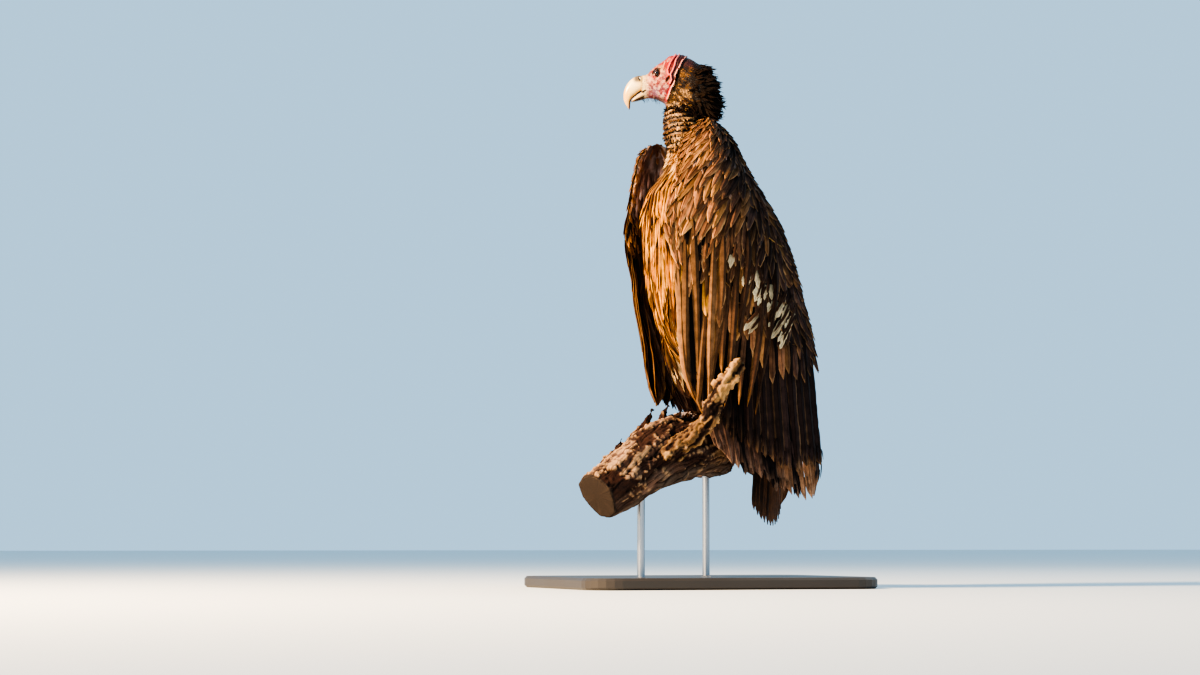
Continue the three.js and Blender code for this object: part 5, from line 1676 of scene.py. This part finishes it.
# ---------------------------------------------------------------- perch
# Middles and radii along the limb and its snag: (x, y, z, radius).
LIMB = [(-322, -112, 187, 49), (-245, -86, 233, 58), (-165, -58, 274, 68), (-90, -20, 288, 64),
        (-20, 28, 294, 54), (20, 100, 282, 45), (26, 180, 274, 40), (30, 250, 274, 37)]
SNAG = [(-212, -112, 254, 13), (-170, -122, 281, 18), (-137, -130, 303, 20), (-112, -146, 325, 19.5),
        (-98, -168, 354, 18), (-92, -178, 384, 18.5), (-74, -185, 415, 15.5), (-42, -188, 458, 13.5)]


def limb_space(points, line):
    """Each point's place along a limb, angle round it and distance from its middle; its radius and length."""
    knots = along_list(line, 160)
    centre = knots[:, :3]
    run = np.r_[0, np.cumsum(np.linalg.norm(np.diff(centre, axis=0), axis=1))]
    ahead = unit(np.gradient(centre, axis=0))
    side = unit(np.cross(ahead, UP))
    over = np.cross(side, ahead)
    # In blocks, because all distances at once would take too much memory.
    nearest = np.concatenate([np.argmin(((block[:, None] - centre[None]) ** 2).sum(2), axis=1)
                              for block in np.array_split(points, 1 + len(points) // 20000)])
    off = points - centre[nearest]
    along = run[nearest] + (off * ahead[nearest]).sum(1)
    right, above = (off * side[nearest]).sum(1), (off * over[nearest]).sum(1)
    return along, np.arctan2(right, above), np.hypot(right, above), knots[nearest, 3], run[-1]


class VULTURE_OT_perch(bpy.types.Operator):
    """Cracked, weathered dead limb with its snag"""
    bl_idname = "vulture.perch"
    bl_label = "Perch"

    def execute(self, context):
        perch = copy_of_nodes("dead_limb", ["perch", "perch_snag"])
        remeshed(perch, 2.3, 0.8)
        points, normals = places(perch), vertex_normals(perch)
        limb, snag = limb_space(points, LIMB), limb_space(points, SNAG)
        on_snag = (snag[2] < snag[3] * 1.7) & (limb[2] > limb[3] * 0.98)
        along, angle, out, radius = (np.where(on_snag, b, a) for a, b in zip(limb[:4], snag[:4]))
        whole = np.where(on_snag, snag[4], limb[4])
        # The grain runs along the limb with a slow twist: fibres are long along it and narrow round it.
        turn = angle + 0.0016 * along
        ring = np.stack([np.cos(turn) * radius, np.sin(turn) * radius, np.where(on_snag, 400.0, 0.0)], 1)
        fibre = np.stack([ring[:, 0], ring[:, 1], along * 0.11 + ring[:, 2]], 1)
        fibre = fibre + 3.0 * noise(points, 24, 60)[:, None]
        ridge = noise(fibre, 6.5, 61)
        broad = noise(fibre * [1, 1, 1.6], 15, 62)
        split = np.exp(-(noise(fibre * [1, 1, 0.7], 19, 63) / 0.07) ** 2)
        thin = np.exp(-(noise(fibre * [1, 1, 1.2], 8, 64) / 0.09) ** 2)
        lump = noise(points, 26, 65)
        knob = np.maximum(noise(points, 11, 68), 0) ** 1.5
        crumb = noise(points, 5.0, 69)
        plate = step(0.02, 0.2, noise(fibre * [1, 1, 2.6], 18, 66) + 0.25 * crumb)
        # Bark and rot hold on above, and below the wood is bare and smoother, with one long crack.
        above = step(-0.55, 0.25, np.cos(angle - 0.35) + 0.35 * noise(points, 40, 70))
        above = np.where(on_snag, 0.9, above)
        crack = to_line(along, angle * 46, [(30, -118), (150, -108), (260, -84)])
        gash = np.exp(-((crack + 3 * noise(points, 9, 72)) / 2.6) ** 2) * ~on_snag
        rise = 1.0 * ridge + 1.6 * broad + 1.8 * lump - 3.0 * split - 1.6 * thin - 6.0 * gash
        rise += above * (3.4 * plate - 2.4 + 5.0 * knob + 1.6 * crumb)
        ends = step(2, 7, along) * step(whole - 2, whole - 7, along)
        ends = np.where(on_snag, step(-6, 4, along), ends)
        # The wood is worn smoother where the feet hold it.
        x, y, _ = points.T
        foot = np.minimum(np.hypot(x + 62, y + 42), np.hypot(x + 46, y - 44))
        calm = mix(0.25, 1, step(34, 66, foot) * (normals[:, 2] > -0.2) + (normals[:, 2] <= -0.2))
        wart = noise(fibre * [1, 1, 2.2], 8, 73) + 0.35 * crumb
        rise += on_snag * (3.2 * wart + 1.0 * crumb)
        move_to(perch, points + normals * (rise * ends * calm)[:, None])
        # The sawn ends show rings 4.2 mm apart.
        rings = 0.5 + 0.5 * np.sin(out * 2 * math.pi / 4.2 + 2 * noise(points, 20, 67))
        sawn = layered("#40342a", ("#2a2019", rings))
        # The wood is painted paler on raised ridges, bark plates, knobs and the snag's bosses, partly
        # sun-bleached wood and partly painted highlight. Cracks, the hollows between plates and the snag's
        # hollows are painted near black, partly rot and partly painted shade.
        paint(perch, "Markings", layered(
            "#3c2a22", ("#76594a", step(-0.5, 0.6, broad + 0.6 * ridge)),
            ("#6c5d50", (1 - above) * step(-0.6, 0.4, lump) * 0.75), ("#2c150b", above * (1 - plate) * 0.85),
            ("#b8926c", step(0.25, 0.9, plate * above * (0.4 + ridge + crumb) + knob) * 0.7),
            ("#150a06", np.maximum(np.maximum(split, 0.8 * thin), gash) * 0.92),
            ("#bd915c", on_snag * mix(0.3, 0.75, plate) * step(-0.3, 0.3, wart)),
            ("#1c0e08", on_snag * step(-0.1, -0.35, wart) * 0.92), (sawn, (1 - ends) * ~on_snag)))
        layer = perch.data.attributes.new("Grain", "FLOAT_VECTOR", "POINT")
        flow = np.stack([ring[:, 0], ring[:, 1], along * 0.06 + ring[:, 2]], 1) / 3.2
        layer.data.foreach_set("vector", flow.astype(np.float32).ravel())
        keep(perch, wood_finish(), "dead_wood", "perch", "perch_snag")
        return {"FINISHED"}


class VULTURE_OT_stand(bpy.types.Operator):
    """Finishes of the display base and its rods"""
    bl_idname = "vulture.stand"
    bl_label = "Display Stand"

    def execute(self, context):
        sizes = context.scene.vulture_sizes
        board, rod = board_finish(sizes.board), rod_finish(sizes.rod)
        for name, material in (("stand_base", board), ("stand_rod_1", rod), ("stand_rod_2", rod)):
            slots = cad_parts[name].data.materials
            slots.clear()
            slots.append(material)
        return {"FINISHED"}


# ---------------------------------------------------------------- stage
# Level directions of the camera's view, which is turned 19 degrees from square on to the bird's left side.
VIEW_RIGHT, VIEW_AHEAD = Vector((0.94552, -0.32557, 0)), Vector((0.32557, 0.94552, 0))


class VULTURE_OT_stage(bpy.types.Operator):
    """Pale floor, soft studio light and camera"""
    bl_idname = "vulture.stage"
    bl_label = "Stage"

    def execute(self, context):
        look = context.scene.vulture_stage
        bpy.ops.object.select_all(action="DESELECT")
        bpy.ops.mesh.primitive_plane_add(size=60)
        floor = context.active_object
        floor.name = "floor"
        pale, _, _ = finish("pale studio floor", {"Roughness": 0.9, "Base Color": (*look.floor, 1)})
        floor.data.materials.append(pale)
        world = bpy.data.worlds.new("studio")
        world.use_nodes = True
        background = world.node_tree.nodes["Background"].inputs
        background["Color"].default_value = (*look.sky, 1)
        background["Strength"].default_value = look.fill
        context.scene.world = world
        context.scene.view_settings.look = "AgX - High Contrast"
        rise = math.radians(look.rise)
        view = VIEW_AHEAD * math.cos(rise) + Vector((0, 0, math.sin(rise)))
        # The middle of the picture, at the bird's own distance, and the width of the view there.
        middle, width = VIEW_RIGHT * -0.2625 + Vector((0.045, -0.045, 0.524)), 2.52
        lens = bpy.data.cameras.new("camera")
        lens.sensor_width = 36
        lens.lens = lens.sensor_width * look.distance / width
        camera = bpy.data.objects.new("camera", lens)
        camera.location = middle - view * look.distance
        camera.rotation_euler = view.to_track_quat("-Z", "Y").to_euler()
        context.scene.collection.objects.link(camera)
        context.scene.camera = camera
        body = Vector((0, 0, 0.62))
        from_key = VIEW_RIGHT * -3.4 - VIEW_AHEAD * 1.9 + Vector((0, 0, 2.0))
        from_rim = VIEW_RIGHT * 2.2 + VIEW_AHEAD * 2.6 + Vector((0, 0, 2.6))
        lamps = (("key", from_key, 0.8, look.key, look.key_tone),
                 ("rim", from_rim, 1.6, look.key * 0.03, (1, 1, 1)))
        for name, place, size, power, colour in lamps:
            light = bpy.data.lights.new(name, "AREA")
            light.shape, light.size, light.energy, light.color = "DISK", size, power, colour
            lamp = bpy.data.objects.new(name, light)
            lamp.location = body + place
            lamp.rotation_euler = (-place).to_track_quat("-Z", "Y").to_euler()
            context.scene.collection.objects.link(lamp)
        return {"FINISHED"}


# ---------------------------------------------------------------- settings, panel and registration
def length(name, description, default):
    """A property for a length in metres."""
    return FloatProperty(name=name, description=description, default=default, min=0, subtype="DISTANCE",
                         unit="LENGTH")


def colour(name, description, code):
    """A property for a colour, given as sRGB hex."""
    return FloatVectorProperty(name=name, description=description, default=linear(code), size=3, min=0, max=1,
                               subtype="COLOR")


class VultureSizes(bpy.types.PropertyGroup):
    skin_voxel: length("Skin Detail", "Grid that the skin is remeshed on", 0.0065)
    breast_feather: length("Breast Feather", "Length of a breast feather", 0.085)
    covert: length("Covert", "Length of a wing covert", 0.07)
    covert_width: length("Covert Width", "Width of a wing covert", 0.021)
    nape_spike: length("Nape Spike", "Length of the spiky down on the nape", 0.016)
    board: colour("Board", "Paint of the display base", "#39332d")
    rod: colour("Rod", "Steel of the display rods", "#b9bcc0")


class VultureStage(bpy.types.PropertyGroup):
    distance: length("Distance", "From the camera to the middle of its view", 5.5)
    rise: FloatProperty(name="Rise", description="How far the camera looks up, in degrees", default=4.5)
    key: FloatProperty(name="Key Light", description="Power of the key light, in watts", default=760)
    key_tone: colour("Key Light Colour", "Colour of the key light", "#ffdcb0")
    fill: FloatProperty(name="Fill", description="Strength of the light from all round", default=1.0)
    sky: colour("Fill Colour", "Colour of the light from all round", "#aed6f2")
    floor: colour("Floor", "Colour of the studio floor", "#d6d8d8")


PIECES = (VULTURE_OT_skin, VULTURE_OT_bill, VULTURE_OT_eyes, VULTURE_OT_claws, VULTURE_OT_head_down,
          VULTURE_OT_body_plumage, VULTURE_OT_wing_coverts, VULTURE_OT_flight_feathers, VULTURE_OT_perch,
          VULTURE_OT_stand, VULTURE_OT_stage)


class VULTURE_PT_pieces(bpy.types.Panel):
    """Lists the pieces of the perched vulture and their settings"""
    bl_idname = "VULTURE_PT_pieces"
    bl_label = "Perched Vulture"
    bl_space_type = "VIEW_3D"
    bl_region_type = "UI"
    bl_category = "Vulture"

    def draw(self, context):
        for settings in (context.scene.vulture_sizes, context.scene.vulture_stage):
            for name in settings.bl_rna.properties.keys():
                if name not in ("rna_type", "name"):
                    self.layout.prop(settings, name)
        for piece in PIECES:
            self.layout.operator(piece.bl_idname)


CLASSES = (VultureSizes, VultureStage, *PIECES, VULTURE_PT_pieces)


def register():
    """Adds the classes and their settings."""
    for each in CLASSES:
        bpy.utils.register_class(each)
    bpy.types.Scene.vulture_sizes = PointerProperty(type=VultureSizes)
    bpy.types.Scene.vulture_stage = PointerProperty(type=VultureStage)


def unregister():
    """Takes the classes and their settings away again."""
    del bpy.types.Scene.vulture_stage
    del bpy.types.Scene.vulture_sizes
    for each in reversed(CLASSES):
        bpy.utils.unregister_class(each)


def main():
    """Builds every piece in order."""
    register()
    for piece in PIECES:
        group, name = piece.bl_idname.split(".")
        getattr(getattr(bpy.ops, group), name)()


if __name__ == "__main__":
    main()
